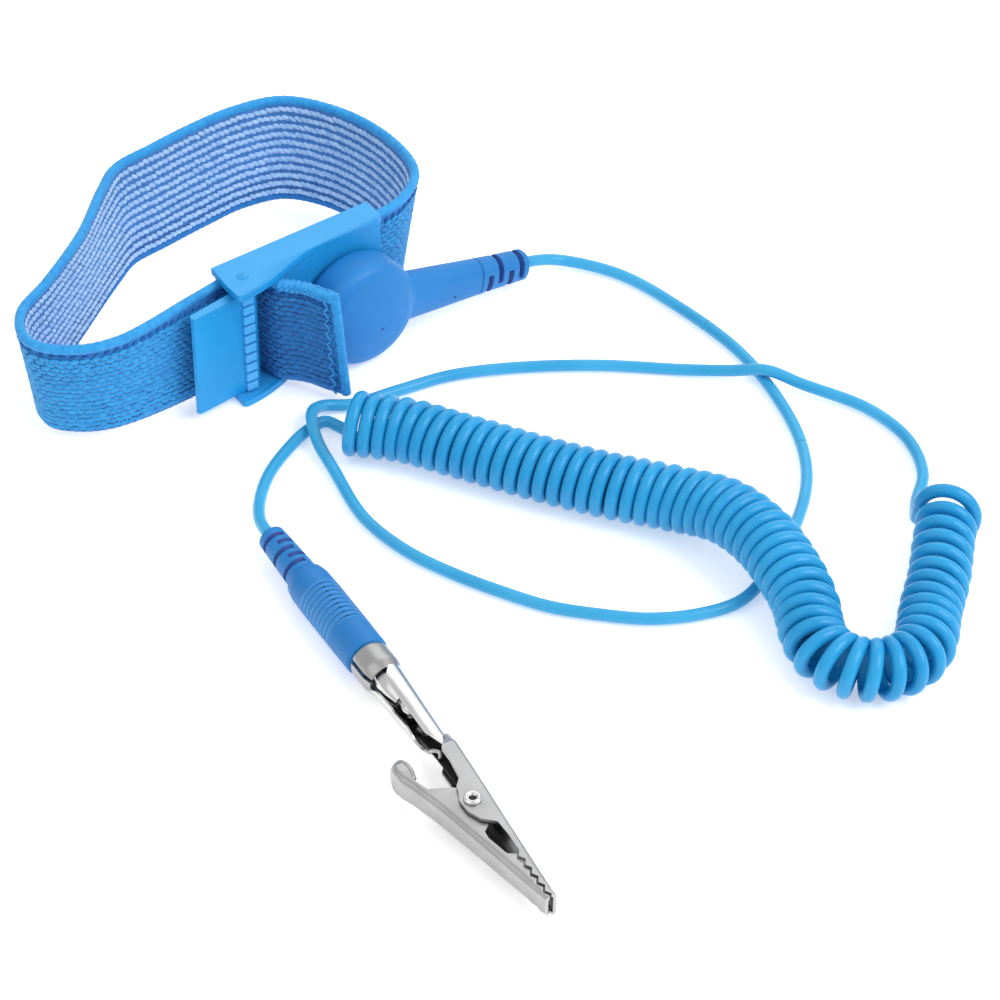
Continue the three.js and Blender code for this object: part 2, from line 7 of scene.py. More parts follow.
import bpy
import numpy as np
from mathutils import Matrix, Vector


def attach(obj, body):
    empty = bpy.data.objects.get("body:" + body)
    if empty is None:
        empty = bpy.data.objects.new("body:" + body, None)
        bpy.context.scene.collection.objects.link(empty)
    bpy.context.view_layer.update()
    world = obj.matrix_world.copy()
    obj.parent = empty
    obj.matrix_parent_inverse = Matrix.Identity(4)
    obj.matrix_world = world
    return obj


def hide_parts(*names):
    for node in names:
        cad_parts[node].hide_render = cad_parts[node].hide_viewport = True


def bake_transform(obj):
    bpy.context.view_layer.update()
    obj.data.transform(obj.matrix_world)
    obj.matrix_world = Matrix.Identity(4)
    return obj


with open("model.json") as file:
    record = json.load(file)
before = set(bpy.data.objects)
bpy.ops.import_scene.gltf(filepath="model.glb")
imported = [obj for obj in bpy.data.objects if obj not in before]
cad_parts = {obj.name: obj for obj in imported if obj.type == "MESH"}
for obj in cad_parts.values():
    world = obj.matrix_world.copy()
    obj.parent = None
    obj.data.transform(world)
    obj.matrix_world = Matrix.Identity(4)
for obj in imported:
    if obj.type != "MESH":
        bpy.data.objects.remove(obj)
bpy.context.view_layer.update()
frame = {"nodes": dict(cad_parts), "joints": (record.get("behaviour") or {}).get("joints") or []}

MM = 0.001
UP = np.array([0.0, 0.0, 1.0])
joints = {joint["name"]: joint for joint in frame["joints"]}
chance = np.random.default_rng(7)


# ---- Frames of reference ------------------------------------------------------------------------


class Place:
    """A frame of reference: an origin and three axes, in millimetres of the row frame."""

    def __init__(self, origin, x, y, z):
        self.origin = np.array(origin, float)
        self.axes = np.array([x, y, z], float)

    def at(self, x, y, z):
        return self.origin + np.array([x, y, z], float) @ self.axes

    def points(self, local):
        return self.origin + np.asarray(local, float) @ self.axes

    def moved(self, x, y, z):
        return Place(self.at(x, y, z), *self.axes)

    def tilted(self, degrees):
        """The same place turned about its x axis."""
        c, s = math.cos(math.radians(degrees)), math.sin(math.radians(degrees))
        x, y, z = self.axes
        return Place(self.origin, x, c * y + s * z, c * z - s * y)


def joint_point(name):
    return np.array(joints[name]["pos_m"], float) / MM


def level_place(origin, x_axis):
    x = np.array(x_axis, float)
    origin = np.array([origin[0], origin[1], 0.0])
    return Place(origin, x, np.cross(UP, x), UP)


LEVER_OUT, LEVER_ALONG = 5.7, 3.1  # the lever's pin in the buckle: out from the wrist, along it
STUD_ALONG = 25.5
BUCKLE_CORNER = (-52.5, 35.3)  # the buckle's inner corner on the table layout
DROOP = -10
PIVOT = (40.9, -2.8)  # the jaws' rivet in the plug's frame

# x out from the wrist, y along the buckle, z up.
buckle = level_place(joint_point("lever_open"), joints["snap_release"]["axis"])
buckle = buckle.moved(-LEVER_OUT, -LEVER_ALONG, 0)
stud = buckle.moved(0, STUD_ALONG, joint_point("snap_swivel")[2])
# x out from the wrist, y from the stud towards the cord.
connector = stud.tilted(DROOP)
# x from the grip's mouth to the clip's tip, z up from the table.
plug = level_place(joint_point("clip_spin"), joints["clip_pull"]["axis"])
PLUG_UP = joint_point("clip_spin")[2]
layout = Place(buckle.origin - np.array([*BUCKLE_CORNER, 0.0]), *np.eye(3))


# ---- Mesh helpers -------------------------------------------------------------------------------


def piece(name, points, faces, material, body, smooth=True, replaces=(), slot=None):
    """A mesh object from points in millimetres, riding on a body."""
    mesh = bpy.data.meshes.new(name)
    mesh.from_pydata((np.asarray(points, float) * MM).tolist(), [], faces)
    mesh.materials.append(material)
    mesh.polygons.foreach_set("use_smooth", [smooth] * len(mesh.polygons))
    mesh.validate()
    obj = bpy.data.objects.new(name, mesh)
    bpy.context.scene.collection.objects.link(obj)
    if body:
        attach(obj, body)
    if replaces:
        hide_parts(*replaces)
    return obj


def merged(parts):
    """Several (points, faces) as one."""
    points, faces, start = [], [], 0
    for part_points, part_faces in parts:
        points.append(part_points)
        faces += [[i + start for i in face] for face in part_faces]
        start += len(part_points)
    return np.concatenate(points), faces


def skin(rings, closed_ring=True, caps=True):
    """Faces that join rings of equal length, from (rings, points per ring, 3)."""
    rings = np.asarray(rings, float)
    count, size, _ = rings.shape
    faces = []
    last = size if closed_ring else size - 1
    for k in range(count - 1):
        for i in range(last):
            j = (i + 1) % size
            faces.append([k * size + i, k * size + j, (k + 1) * size + j, (k + 1) * size + i])
    if caps:
        faces.append(list(range(size))[::-1])
        faces.append([(count - 1) * size + i for i in range(size)])
    return rings.reshape(-1, 3), faces


def directions(path):
    """Unit tangents of a polyline."""
    step = np.gradient(path, axis=0)
    return step / np.linalg.norm(step, axis=1)[:, None]


def sweep(path, radius, sides=12):
    """A round rod along a polyline, with flat ends; radius is one number or one for each point."""
    path = np.asarray(path, float)
    tangents = directions(path)
    radii = np.broadcast_to(np.asarray(radius, float), (len(path),)).copy()
    side = np.cross(tangents[0], UP)
    if np.linalg.norm(side) < 0.1:
        side = np.cross(tangents[0], [1.0, 0.0, 0.0])
    angles = np.arange(sides) * 2 * math.pi / sides
    rings = []
    for p, t, r in zip(path, tangents, radii):
        side = side - t * (side @ t)
        side /= np.linalg.norm(side)
        other = np.cross(t, side)
        rings.append(p + r * (np.cos(angles)[:, None] * side + np.sin(angles)[:, None] * other))
    return skin(rings)


def turned(place, axis, profile, sides=48):
    """A lathe piece: profile is [radius, distance along the axis] points; axis is 0, 1 or 2."""
    angles = np.arange(sides) * 2 * math.pi / sides
    a, b = [(1, 2), (2, 0), (0, 1)][axis]
    rings = []
    for r, h in profile:
        local = np.zeros((sides, 3))
        local[:, axis] = h
        local[:, a] = max(r, 1e-3) * np.cos(angles)
        local[:, b] = max(r, 1e-3) * np.sin(angles)
        rings.append(place.points(local))
    return skin(rings)


def raised(place, outline, low, high):
    """A flat outline of (x, y) points, raised from one height to another."""
    size = len(outline)
    flat = np.array(outline, float)
    bottom = np.column_stack([flat, np.full(size, low)])
    top = np.column_stack([flat, np.full(size, high)])
    faces = [[i, (i + 1) % size, size + (i + 1) % size, size + i] for i in range(size)]
    faces.append(list(range(size))[::-1])
    faces.append([size + i for i in range(size)])
    area = np.sum(flat[:, 0] * np.roll(flat[:, 1], -1) - flat[:, 1] * np.roll(flat[:, 0], -1))
    if area < 0:
        faces = [face[::-1] for face in faces]
    return place.points(np.concatenate([bottom, top])), faces


def block(place, x, y, z):
    return raised(place, [(x[0], y[0]), (x[1], y[0]), (x[1], y[1]), (x[0], y[1])], *z)


def arc(centre, radius, start, end, count):
    """Points of a circular arc, with angles in degrees."""
    angles = np.radians(np.linspace(start, end, count))
    return [(centre[0] + radius * math.cos(a), centre[1] + radius * math.sin(a)) for a in angles]


def bezier(a, b, c, d, count):
    t = np.linspace(0, 1, count)[:, None]
    a, b, c, d = (np.array(p, float) for p in (a, b, c, d))
    curve = (1 - t) ** 3 * a + 3 * (1 - t) ** 2 * t * b + 3 * (1 - t) * t**2 * c + t**3 * d
    return [tuple(p) for p in curve]


def spline(points, spacing):
    """A centripetal Catmull-Rom curve through the points, at even spacing."""
    p = np.asarray(points, float)
    p = np.concatenate([[2 * p[0] - p[1]], p, [2 * p[-1] - p[-2]]])
    curve = []
    for i in range(1, len(p) - 2):
        p0, p1, p2, p3 = p[i - 1 : i + 3]
        t1 = math.sqrt(np.linalg.norm(p1 - p0))
        t2 = t1 + math.sqrt(np.linalg.norm(p2 - p1))
        t3 = t2 + math.sqrt(np.linalg.norm(p3 - p2))
        t = np.linspace(t1, t2, 24, endpoint=False)[:, None]
        a1 = (t1 - t) / t1 * p0 + t / t1 * p1
        a2 = (t2 - t) / (t2 - t1) * p1 + (t - t1) / (t2 - t1) * p2
        a3 = (t3 - t) / (t3 - t2) * p2 + (t - t2) / (t3 - t2) * p3
        b1 = (t2 - t) / t2 * a1 + t / t2 * a2
        b2 = (t3 - t) / (t3 - t1) * a2 + (t - t1) / (t3 - t1) * a3
        curve.append((t2 - t) / (t2 - t1) * b1 + (t - t1) / (t2 - t1) * b2)
    curve = np.concatenate(curve + [p[-2:-1]])
    return evenly(curve, spacing)


def evenly(curve, spacing):
    reach = np.concatenate([[0], np.cumsum(np.linalg.norm(np.diff(curve, axis=0), axis=1))])
    wanted = np.linspace(0, reach[-1], max(2, round(reach[-1] / spacing) + 1))
    return np.column_stack([np.interp(wanted, reach, curve[:, k]) for k in range(3)])


def rounded(obj, width, segments=3, angle=35):
    """Rounds a piece's edges."""
    bevel = obj.modifiers.new("rounding", "BEVEL")
    bevel.width = width * MM
    bevel.segments = segments
    bevel.limit_method = "ANGLE"
    bevel.angle_limit = math.radians(angle)
    bevel.harden_normals = True
    return obj


def fused(obj, voxel, smoothing):
    """Melts a piece's overlapping solids into one moulded skin."""
    remesh = obj.modifiers.new("fuse", "REMESH")
    remesh.mode = "VOXEL"
    remesh.voxel_size = voxel * MM
    remesh.use_smooth_shade = True
    smooth = obj.modifiers.new("soften", "SMOOTH")
    smooth.factor = 0.5
    smooth.iterations = smoothing
    return obj


# ---- Materials ----------------------------------------------------------------------------------


def linear(r, g, b):
    """Screen colour to linear colour."""
    return tuple(
        c / 255 / 12.92 if c <= 10 else ((c / 255 + 0.055) / 1.055) ** 2.4 for c in (r, g, b)
    ) + (1.0,)


class Surface:
    """A node material built up in layers."""

    def __init__(self, name, colour, roughness, metallic=0.0):
        self.material = bpy.data.materials.new(name)
        self.material.use_nodes = True
        self.nodes = self.material.node_tree.nodes
        self.links = self.material.node_tree.links
        self.shader = self.nodes["Principled BSDF"]
        self.shader.inputs["Roughness"].default_value = roughness
        self.shader.inputs["Metallic"].default_value = metallic
        self.shader.inputs["Base Color"].default_value = colour
        self.roughness = roughness
        self.place = self.nodes.new("ShaderNodeTexCoord").outputs["Object"]
        self.height = None

    def noise(self, scale, detail=3.0, stretch=(1, 1, 1)):
        mapping = self.nodes.new("ShaderNodeMapping")
        mapping.inputs["Scale"].default_value = stretch
        self.links.new(self.place, mapping.inputs["Vector"])
        noise = self.nodes.new("ShaderNodeTexNoise")
        noise.inputs["Scale"].default_value = scale
        noise.inputs["Detail"].default_value = detail
        self.links.new(mapping.outputs["Vector"], noise.inputs["Vector"])
        return noise.outputs["Fac"]

    def colours(self, factor, low, high, start=0.35, end=0.65):
        ramp = self.nodes.new("ShaderNodeValToRGB")
        ramp.color_ramp.elements[0].position = start
        ramp.color_ramp.elements[1].position = end
        ramp.color_ramp.elements[0].color = low
        ramp.color_ramp.elements[1].color = high
        self.links.new(factor, ramp.inputs["Fac"])
        self.links.new(ramp.outputs["Color"], self.shader.inputs["Base Color"])
        self.colour = ramp.outputs["Color"]
        return self

    def edges(self, colour, start=0.52, end=0.6, strength=0.5):
        """Lightens raised edges, where handling wears them."""
        point = self.nodes.new("ShaderNodeNewGeometry").outputs["Pointiness"]
        ramp = self.nodes.new("ShaderNodeMapRange")
        ramp.inputs["From Min"].default_value = start
        ramp.inputs["From Max"].default_value = end
        ramp.inputs["To Max"].default_value = strength
        self.links.new(point, ramp.inputs["Value"])
        mix = self.nodes.new("ShaderNodeMix")
        mix.data_type = "RGBA"
        colour_in = [s for s in mix.inputs if s.type == "RGBA"]
        self.links.new(ramp.outputs["Result"], mix.inputs["Factor"])
        self.links.new(self.colour, colour_in[0])
        colour_in[1].default_value = colour
        out = [s for s in mix.outputs if s.type == "RGBA"][0]
        self.links.new(out, self.shader.inputs["Base Color"])
        return self

    def bump(self, factor, distance, strength=1.0):
        bump = self.nodes.new("ShaderNodeBump")
        bump.inputs["Distance"].default_value = distance * MM
        bump.inputs["Strength"].default_value = strength
        self.links.new(factor, bump.inputs["Height"])
        if self.height is not None:
            self.links.new(self.height, bump.inputs["Normal"])
        self.height = bump.outputs["Normal"]
        self.links.new(self.height, self.shader.inputs["Normal"])
        return self

    def uneven(self, factor, spread):
        ramp = self.nodes.new("ShaderNodeMapRange")
        ramp.inputs["To Min"].default_value = max(0.02, self.roughness - spread)
        ramp.inputs["To Max"].default_value = self.roughness + spread
        self.links.new(factor, ramp.inputs["Value"])
        self.links.new(ramp.outputs["Result"], self.shader.inputs["Roughness"])
        return self

    def set(self, **values):
        for name, value in values.items():
            self.shader.inputs[name.replace("_", " ")].default_value = value
        return self


def plain(name, low, high, roughness, metallic=0.0):
    surface = Surface(name, high, roughness, metallic)
    surface.colours(surface.noise(300), low, high)
    surface.bump(surface.noise(2500, 3), 0.01, 0.5)
    return surface.uneven(surface.noise(300), 0.06).material


def yarn(name, low, high, sheen):
    surface = Surface(name, high, 0.78)
    surface.colours(surface.noise(900), low, high, 0.25, 0.75)
    surface.bump(surface.noise(6000, 4), 0.05, 0.7)
    surface.uneven(surface.noise(700), 0.1)
    return surface.set(Sheen_Weight=sheen, Sheen_Roughness=0.4).material


def moulded(name, low, high, roughness, edge=None, grain=0.012):
    surface = Surface(name, high, roughness)
    surface.colours(surface.noise(60, 2), low, high)
    if edge:
        surface.edges(edge)
    surface.bump(surface.noise(3500, 2), grain, 0.6)
    surface.bump(surface.noise(220, 2), 0.05, 0.25)
    surface.uneven(surface.noise(150), 0.06)
    return surface.set(Specular_IOR_Level=0.3).material


def metal(name, low, high, roughness, stretch=(1, 1, 1)):
    surface = Surface(name, high, roughness, 1.0)
    surface.colours(surface.noise(140, 3), low, high)
    surface.edges(tuple(min(1.0, c * 1.2) for c in high[:3]) + (1.0,))
    surface.bump(surface.noise(1500, 4, stretch), 0.012, 0.5)
    surface.uneven(surface.noise(320, 4, stretch), 0.08)
    return surface.material


knit_blue = yarn("knit_blue", linear(18, 120, 189), linear(38, 158, 221), 0.15)
# A darker copy of the band's yarn: painted shade for the tail, which lies shaded in the pocket by the
# lever.
knit_painted_shade = yarn("knit_painted_shade", linear(12, 88, 156), linear(26, 122, 190), 0.1)
knit_ground = yarn("knit_ground", linear(20, 104, 174), linear(30, 122, 196), 0.1)
lining_white = yarn("lining_white", linear(124, 172, 222), linear(182, 212, 246), 0.3)
lining_ground = yarn("lining_ground", linear(50, 108, 176), linear(70, 134, 200), 0.1)
selvedge_blue = yarn("selvedge_blue", linear(24, 132, 202), linear(42, 156, 220), 0.2)
stitch_blue = yarn("stitch_blue", linear(14, 80, 148), linear(24, 100, 172), 0.1)
buckle_blue = moulded(
    "buckle_blue", linear(16, 136, 202), linear(26, 148, 214), 0.38, linear(70, 170, 230)
)
teeth_blue = moulded(
    "teeth_blue", linear(50, 152, 218), linear(66, 166, 228), 0.42, linear(110, 195, 245)
)
connector_blue = moulded("connector_blue", linear(26, 116, 185), linear(36, 128, 199), 0.46)
grip_blue = moulded(
    "grip_blue", linear(24, 110, 178), linear(34, 122, 192), 0.46, linear(80, 160, 225)
)
# Painted shade: the dark blue of the strain reliefs' slot walls and floors. The connector's small
# gate marks take it too.
groove_shade_and_mark_blue = plain("groove_shade_and_mark_blue", linear(8, 60, 136), linear(14, 72, 152), 0.6)
cord_blue = moulded(
    "cord_blue", linear(22, 136, 194), linear(36, 150, 206), 0.3, linear(44, 160, 214), 0.008
)
cord_pale = moulded(
    "cord_pale", linear(44, 150, 200), linear(60, 164, 212), 0.3, linear(64, 170, 216), 0.008
)
nickel = metal("nickel", (0.37, 0.37, 0.37, 1), (0.43, 0.43, 0.43, 1), 0.36)
nickel_bright = metal("nickel_bright", (0.62, 0.62, 0.62, 1), (0.72, 0.72, 0.72, 1), 0.22)
# Blued steel for the springs. It also paints the shade of the dark sheet in the fixed jaw and of the
# rivet's hole.
blued_and_painted_shade = plain("blued_and_painted_shade", (0.015, 0.015, 0.016, 1), (0.03, 0.03, 0.032, 1), 0.45, 0.6)
stainless = metal("stainless", (0.42, 0.41, 0.40, 1), (0.58, 0.57, 0.56, 1), 0.3, (0.05, 0.05, 1))
brass = metal("brass", (0.5, 0.34, 0.12, 1), (0.72, 0.5, 0.2, 1), 0.25)
copper = metal("copper", (0.5, 0.2, 0.1, 1), (0.75, 0.35, 0.2, 1), 0.35)
resistor_coat = moulded(
    "resistor_coat", linear(110, 160, 176), linear(130, 180, 196), 0.3, linear(190, 215, 225)
)

CAD_FINISH = {
    "contact_plate": stainless,
    "snap_stud": nickel,
    "stud_rivet": stainless,
    "snap_socket": nickel,
    "socket_spring": stainless,
    "resistor_body": resistor_coat,
    "resistor_lead_socket": nickel,
    "resistor_lead_cord": nickel,
    "snap_crimp": brass,
    "snap_conductor": copper,
    "snap_cord_end": cord_pale,
    "plug_crimp": brass,
    "plug_conductor": copper,
}


def dress_cad_nodes():
    for name, material in CAD_FINISH.items():
        obj = frame["nodes"][name]
        obj.data.materials.clear()
        obj.data.materials.append(material)
        rounded(obj, 0.08, 2, 40)


# ---- Elastic band -------------------------------------------------------------------------------

BAND_LOW, BAND_HIGH, BAND_HALF = 1.7, 23.7, 0.78  # its edges' heights and half its thickness
BAND_STEP = 0.5
TAIL_SLANT, SLANT_LONG = 1.8, 8  # the free end's lower corner reaches further, over this length
TAIL_LONG, HEM_LONG = 17.0, 2.6
CORE_SIDES, CORE_INSIDE = 8, range(1, 5)  # the core's faces round its section, and those inside


def band_path():
    """Points of (x, y, lean): lean is how far the upper edge leans outward."""

    def inside(out, along):
        return [*buckle.at(out, along, 0)[:2], 0.0]

    points = [inside(2.05, 20.5), inside(2.05, 28), inside(2.05, 35)]
    loop = [
        (-19.6, 60, 0.9), (-18, 68.5, 1.9), (-22.6, 79, 1.7), (-31.5, 88, 1.3), (-42.3, 92, 1.2),
        (-50.9, 88.7, 1.1), (-58, 83, 1.3), (-65.8, 75.6, 1.3), (-71.7, 69.6, 1.2), (-74, 63, 0.8),
        (-77.6, 49, -0.2), (-82.4, 34, 0), (-85.2, 24.5, 1), (-82.6, 17.6, 1.8), (-76, 15.9, 1.9),
        (-69, 17.8, 1.5),
    ]  # fmt: skip
    points += [layout.at(*p) for p in loop]
    end = [
        (3.3, -6.5), (2.3, 0), (2.0, 4.6), (3.6, 7.6), (6.4, 8.1), (8.9, 8.7),
        (10.9, 10.5), (13.2, 12.1), (16.6, 13.5), (20.2, 15.4),
    ]  # fmt: skip
    points += [inside(out, along) for out, along in end]
    return spline(points, BAND_STEP)


class Band:
    """The band's middle line, with its outward side and its lean at each point."""

    def __init__(self):
        line = band_path()
        self.path = line * [1, 1, 0]
        self.lean = line[:, 2]
        tangent = directions(self.path)
        self.out = np.column_stack([tangent[:, 1], -tangent[:, 0], np.zeros(len(tangent))])
        self.reach = np.arange(len(self.path)) * BAND_STEP
        self.total = self.reach[-1]

    def at(self, reach, height, out):
        """Points at a reach along the band, a share of its height, and a distance out."""
        height = np.broadcast_to(height, np.shape(reach))
        last = np.clip((reach - self.total + SLANT_LONG) / SLANT_LONG, 0, 1)
        i = np.clip((reach - TAIL_SLANT * height * last) / BAND_STEP, 0, len(self.path) - 1)
        k = np.arange(len(self.path))
        points = np.column_stack([np.interp(i, k, self.path[:, c]) for c in range(3)])
        side = np.column_stack([np.interp(i, k, self.out[:, c]) for c in range(3)])
        lean = np.interp(i, k, self.lean) * (2 * height - 1)
        points += side * (lean + out)[:, None]
        points[:, 2] = BAND_LOW + (BAND_HIGH - BAND_LOW) * height
        return points


def ellipsoid(sides=7, rings=4):
    """A unit ball of few faces, from which the yarn loops are made."""
    points = [(0.0, 0.0, -1.0)]
    for k in range(1, rings):
        a = -math.pi / 2 + math.pi * k / rings
        for i in range(sides):
            b = 2 * math.pi * i / sides
            points.append((math.cos(a) * math.cos(b), math.cos(a) * math.sin(b), math.sin(a)))
    points.append((0.0, 0.0, 1.0))
    top = len(points) - 1
    faces = [[0, 1 + (i + 1) % sides, 1 + i] for i in range(sides)]
    for k in range(rings - 2):
        for i in range(sides):
            a, b = 1 + k * sides + i, 1 + k * sides + (i + 1) % sides
            faces.append([a, b, b + sides, a + sides])
    last = 1 + (rings - 2) * sides
    faces += [[last + i, last + (i + 1) % sides, top] for i in range(sides)]
    return np.array(points), faces


def yarn_row(band, side, share, reach, tilt, size):
    """A row of yarn loops on one face of the band; side is 1 outside and -1 inside.
    size is (length, width, height), and every loop differs a little."""
    count = len(reach)
    share = share + chance.normal(0, 0.003, count)
    centres = band.at(reach, share, side * (BAND_HALF - 0.02))
    along = band.at(reach + 0.2, share, side * (BAND_HALF - 0.02)) - centres
    along /= np.linalg.norm(along, axis=1)[:, None]
    up = np.broadcast_to(UP, along.shape)
    outward = np.cross(along, up) * side
    tilt = np.radians(tilt + chance.normal(0, 4, count))[:, None]
    lengthwise = along * np.cos(tilt) + up * np.sin(tilt)
    across = -along * np.sin(tilt) + up * np.cos(tilt)
    ball, ball_faces = ellipsoid()
    half = np.array(size) / 2 * (1 + chance.normal(0, 0.04, (count, 3)))
    # The ball's z is its long axis.
    points = (
        centres[:, None, :]
        + ball[None, :, 2:3] * half[:, None, 0:1] * lengthwise[:, None, :]
        + ball[None, :, 0:1] * half[:, None, 1:2] * across[:, None, :]
        + ball[None, :, 1:2] * half[:, None, 2:3] * outward[:, None, :]
    )
    starts = np.arange(count) * len(ball)
    faces = [[i + start for i in face] for start in starts for face in ball_faces]
    return points.reshape(-1, 3), faces


def knit_face(band, side, start, end, rows, pitch, slant, size, low, high):
    """Rows of slanted loops that fill one face between two reaches and two shares of its height."""
    parts = []
    for row in range(rows):
        share = low + (high - low) * (row + 0.5) / rows
        reach = np.arange(start, end, pitch) + (row % 2) * pitch * 0.5
        parts.append(yarn_row(band, side, share, reach, slant[row % len(slant)], size))
    return merged(parts)


def band_core(band):
    """The band's body: a flat strip with soft edges."""
    share = [0.02, 0.0, 0.02, 0.5, 0.98, 1.0, 0.98, 0.5]
    out = [0.7, 0.0, -0.7, -1.0, -0.7, 0.0, 0.7, 1.0]
    reach = band.reach[::2]
    rings = [band.at(reach, s, o * BAND_HALF) for s, o in zip(share, out)]
    return skin(np.stack(rings, axis=1))


def selvedge(band, share, radius):
    """A bound edge: a soft cord pressed flat, with a shallow twist."""
    reach = np.arange(0.2, band.total, 0.35)
    centre = band.at(reach, share, 0.0)
    centre[:, 2] += radius * (0.75 if share < 0.5 else -0.75)
    angles = np.arange(12) * math.pi / 6
    outward = band.at(reach, share, 1.0) - band.at(reach, share, 0.0)
    rings = []
    for k in range(len(reach)):
        twist = 1 + 0.04 * np.sin(3 * angles + reach[k] * 4.2)
        wide = (radius * twist * np.cos(angles))[:, None] * outward[k]
        tall = (radius * twist * np.sin(angles))[:, None] * UP
        rings.append(centre[k] + wide + tall)
    return skin(rings)


def elastic_band():
    band = Band()
    total = band.total
    core = band_core(band)
    core = piece(
        "band_core", *core, knit_ground, "strap", replaces=["elastic_band"], slot="band_knit"
    )
    core.data.materials.append(lining_ground)
    for face in core.data.polygons:
        face.material_index = int(face.index % CORE_SIDES in CORE_INSIDE)
    loop_size, loop_rows = (2.1, 1.22, 0.46), (17, 1.6, [10, -10])
    lining = knit_face(band, -1, 0.8, total - 1.2, 11, 1.25, [28], (1.95, 1.06, 0.62), 0.05, 0.94)
    piece("band_lining", *lining, lining_white, "strap", slot="band_knit")
    knit = knit_face(band, 1, 0.8, total - TAIL_LONG, *loop_rows, loop_size, 0.03, 0.88)
    piece("band_knit", *knit, knit_blue, "strap", slot="band_knit")
    # The tail's loops take the darker copy of the yarn: painted shade, not a different yarn.
    tail = (total - TAIL_LONG, total - HEM_LONG)
    knit = knit_face(band, 1, *tail, *loop_rows, loop_size, 0.03, 0.88)
    piece("tail_knit", *knit, knit_painted_shade, "strap", slot="band_knit")
    piece("upper_selvedge", *selvedge(band, 1.0, 0.92), selvedge_blue, "strap", slot="band_knit")
    piece("lower_selvedge", *selvedge(band, 0.0, 0.82), knit_ground, "strap", slot="band_knit")
    stitches = yarn_row(band, 1, 0.9, np.arange(1, total - 2, 1.75), 14, (1.2, 0.55, 0.7))
    piece("edge_stitches", *stitches, stitch_blue, "strap", slot="band_knit")
    tail_hem(band)


def tail_hem(band):
    """The band's free end, turned over and sewn, with a fluffy upper edge."""
    share = np.linspace(0.0, 1.0, 40)
    line = band.at(np.full(40, band.total - 0.3), share, 0.0)
    wobble = 1 + 0.04 * np.sin(np.arange(40) * 2.1)
    piece("tail_hem", *sweep(line, 0.9 * wobble, 12), selvedge_blue, "strap", slot="band_knit")
    parts = []
    count = 18
    for side in (-1, 1):
        for k in range(count):
            way = 1 if k % 2 else -1
            reach = band.total - 2.2 + way * np.linspace(-0.45, 0.45, 6)
            heights = np.linspace((k + 0.1) / count, (k + 0.9) / count, 6)
            parts.append(sweep(band.at(reach, heights, side * 1.08), 0.2, 6))
    piece("tail_stitches", *merged(parts), selvedge_blue, "strap", slot="band_knit")
    tufts = []
    for side in (-1, 1):
        for share in (0.955, 0.985):
            reach = np.arange(band.total - 13, band.total - 0.5, 1.05) + chance.uniform(0, 0.4)
            tufts.append(yarn_row(band, side * 0.9, share, reach, 30, (1.5, 1.1, 1.2)))
    piece("tail_tufts", *merged(tufts), selvedge_blue, "strap", slot="band_knit")


# ---- Buckle -------------------------------------------------------------------------------------

LONG, HIGH, WALL = 34.5, 25.4, 1.4  # along the wrist, over the table, and each side wall
DEEP, EAR = 6.0, 10.6  # how far out the front plate and the walls' lever end reach
TRUNNION_R = 1.1
TEETH_ALONG_LEVER = 10


def wall_outline():
    outline = [(0, 0), (DEEP, -0.8), (EAR - 0.8, -0.9)]
    outline += arc((EAR - 0.8, -0.1), 0.8, -90, 0, 5)
    outline += bezier((EAR, 0.5), (EAR - 0.2, 5), (9, 8.5), (7.7, 12), 12)
    outline += bezier((7.55, 12.4), (6.6, 15), (DEEP, 17), (DEEP, 20), 8)
    outline += arc((DEEP - 1.8, LONG - 1.8), 1.8, 0, 90, 7)
    outline += [(0, LONG)]
    return outline


def buckle_shell():
    parts = [
        raised(buckle, wall_outline(), 0, WALL),
        raised(buckle, wall_outline(), HIGH - WALL, HIGH),
        block(buckle, (4.4, DEEP - 0.05), (10.8, LONG - 0.9), (WALL * 0.6, HIGH - WALL * 0.6)),
        block(buckle, (3.3, 5), (LONG - 3, LONG - 0.7), (WALL * 0.6, HIGH - WALL * 0.6)),
    ]
    shell = piece(
        "buckle_shell", *merged(parts), buckle_blue, "strap", replaces=["buckle_frame"],
        slot="buckle_plastic",
    )  # fmt: skip
    rounded(shell, 0.38, 4)
    # The lever's trunnions end a little proud of the upper wall, and level with the lower one.
    r = TRUNNION_R
    upper = [(0.02, -0.3), (r, -0.3), (r, 0.02), (r - 0.15, 0.1), (0.02, 0.1)]
    lower = [(0.02, 0.01), (r, 0.01), (r, 0.3), (0.02, 0.3)]
    rings = []
    for height, profile in ((HIGH, upper), (0, lower)):
        rings.append(turned(buckle.moved(LEVER_OUT, LEVER_ALONG, height), 2, profile, 32))
    piece("lever_trunnion_ends", *merged(rings), buckle_blue, "lever", slot="buckle_plastic")


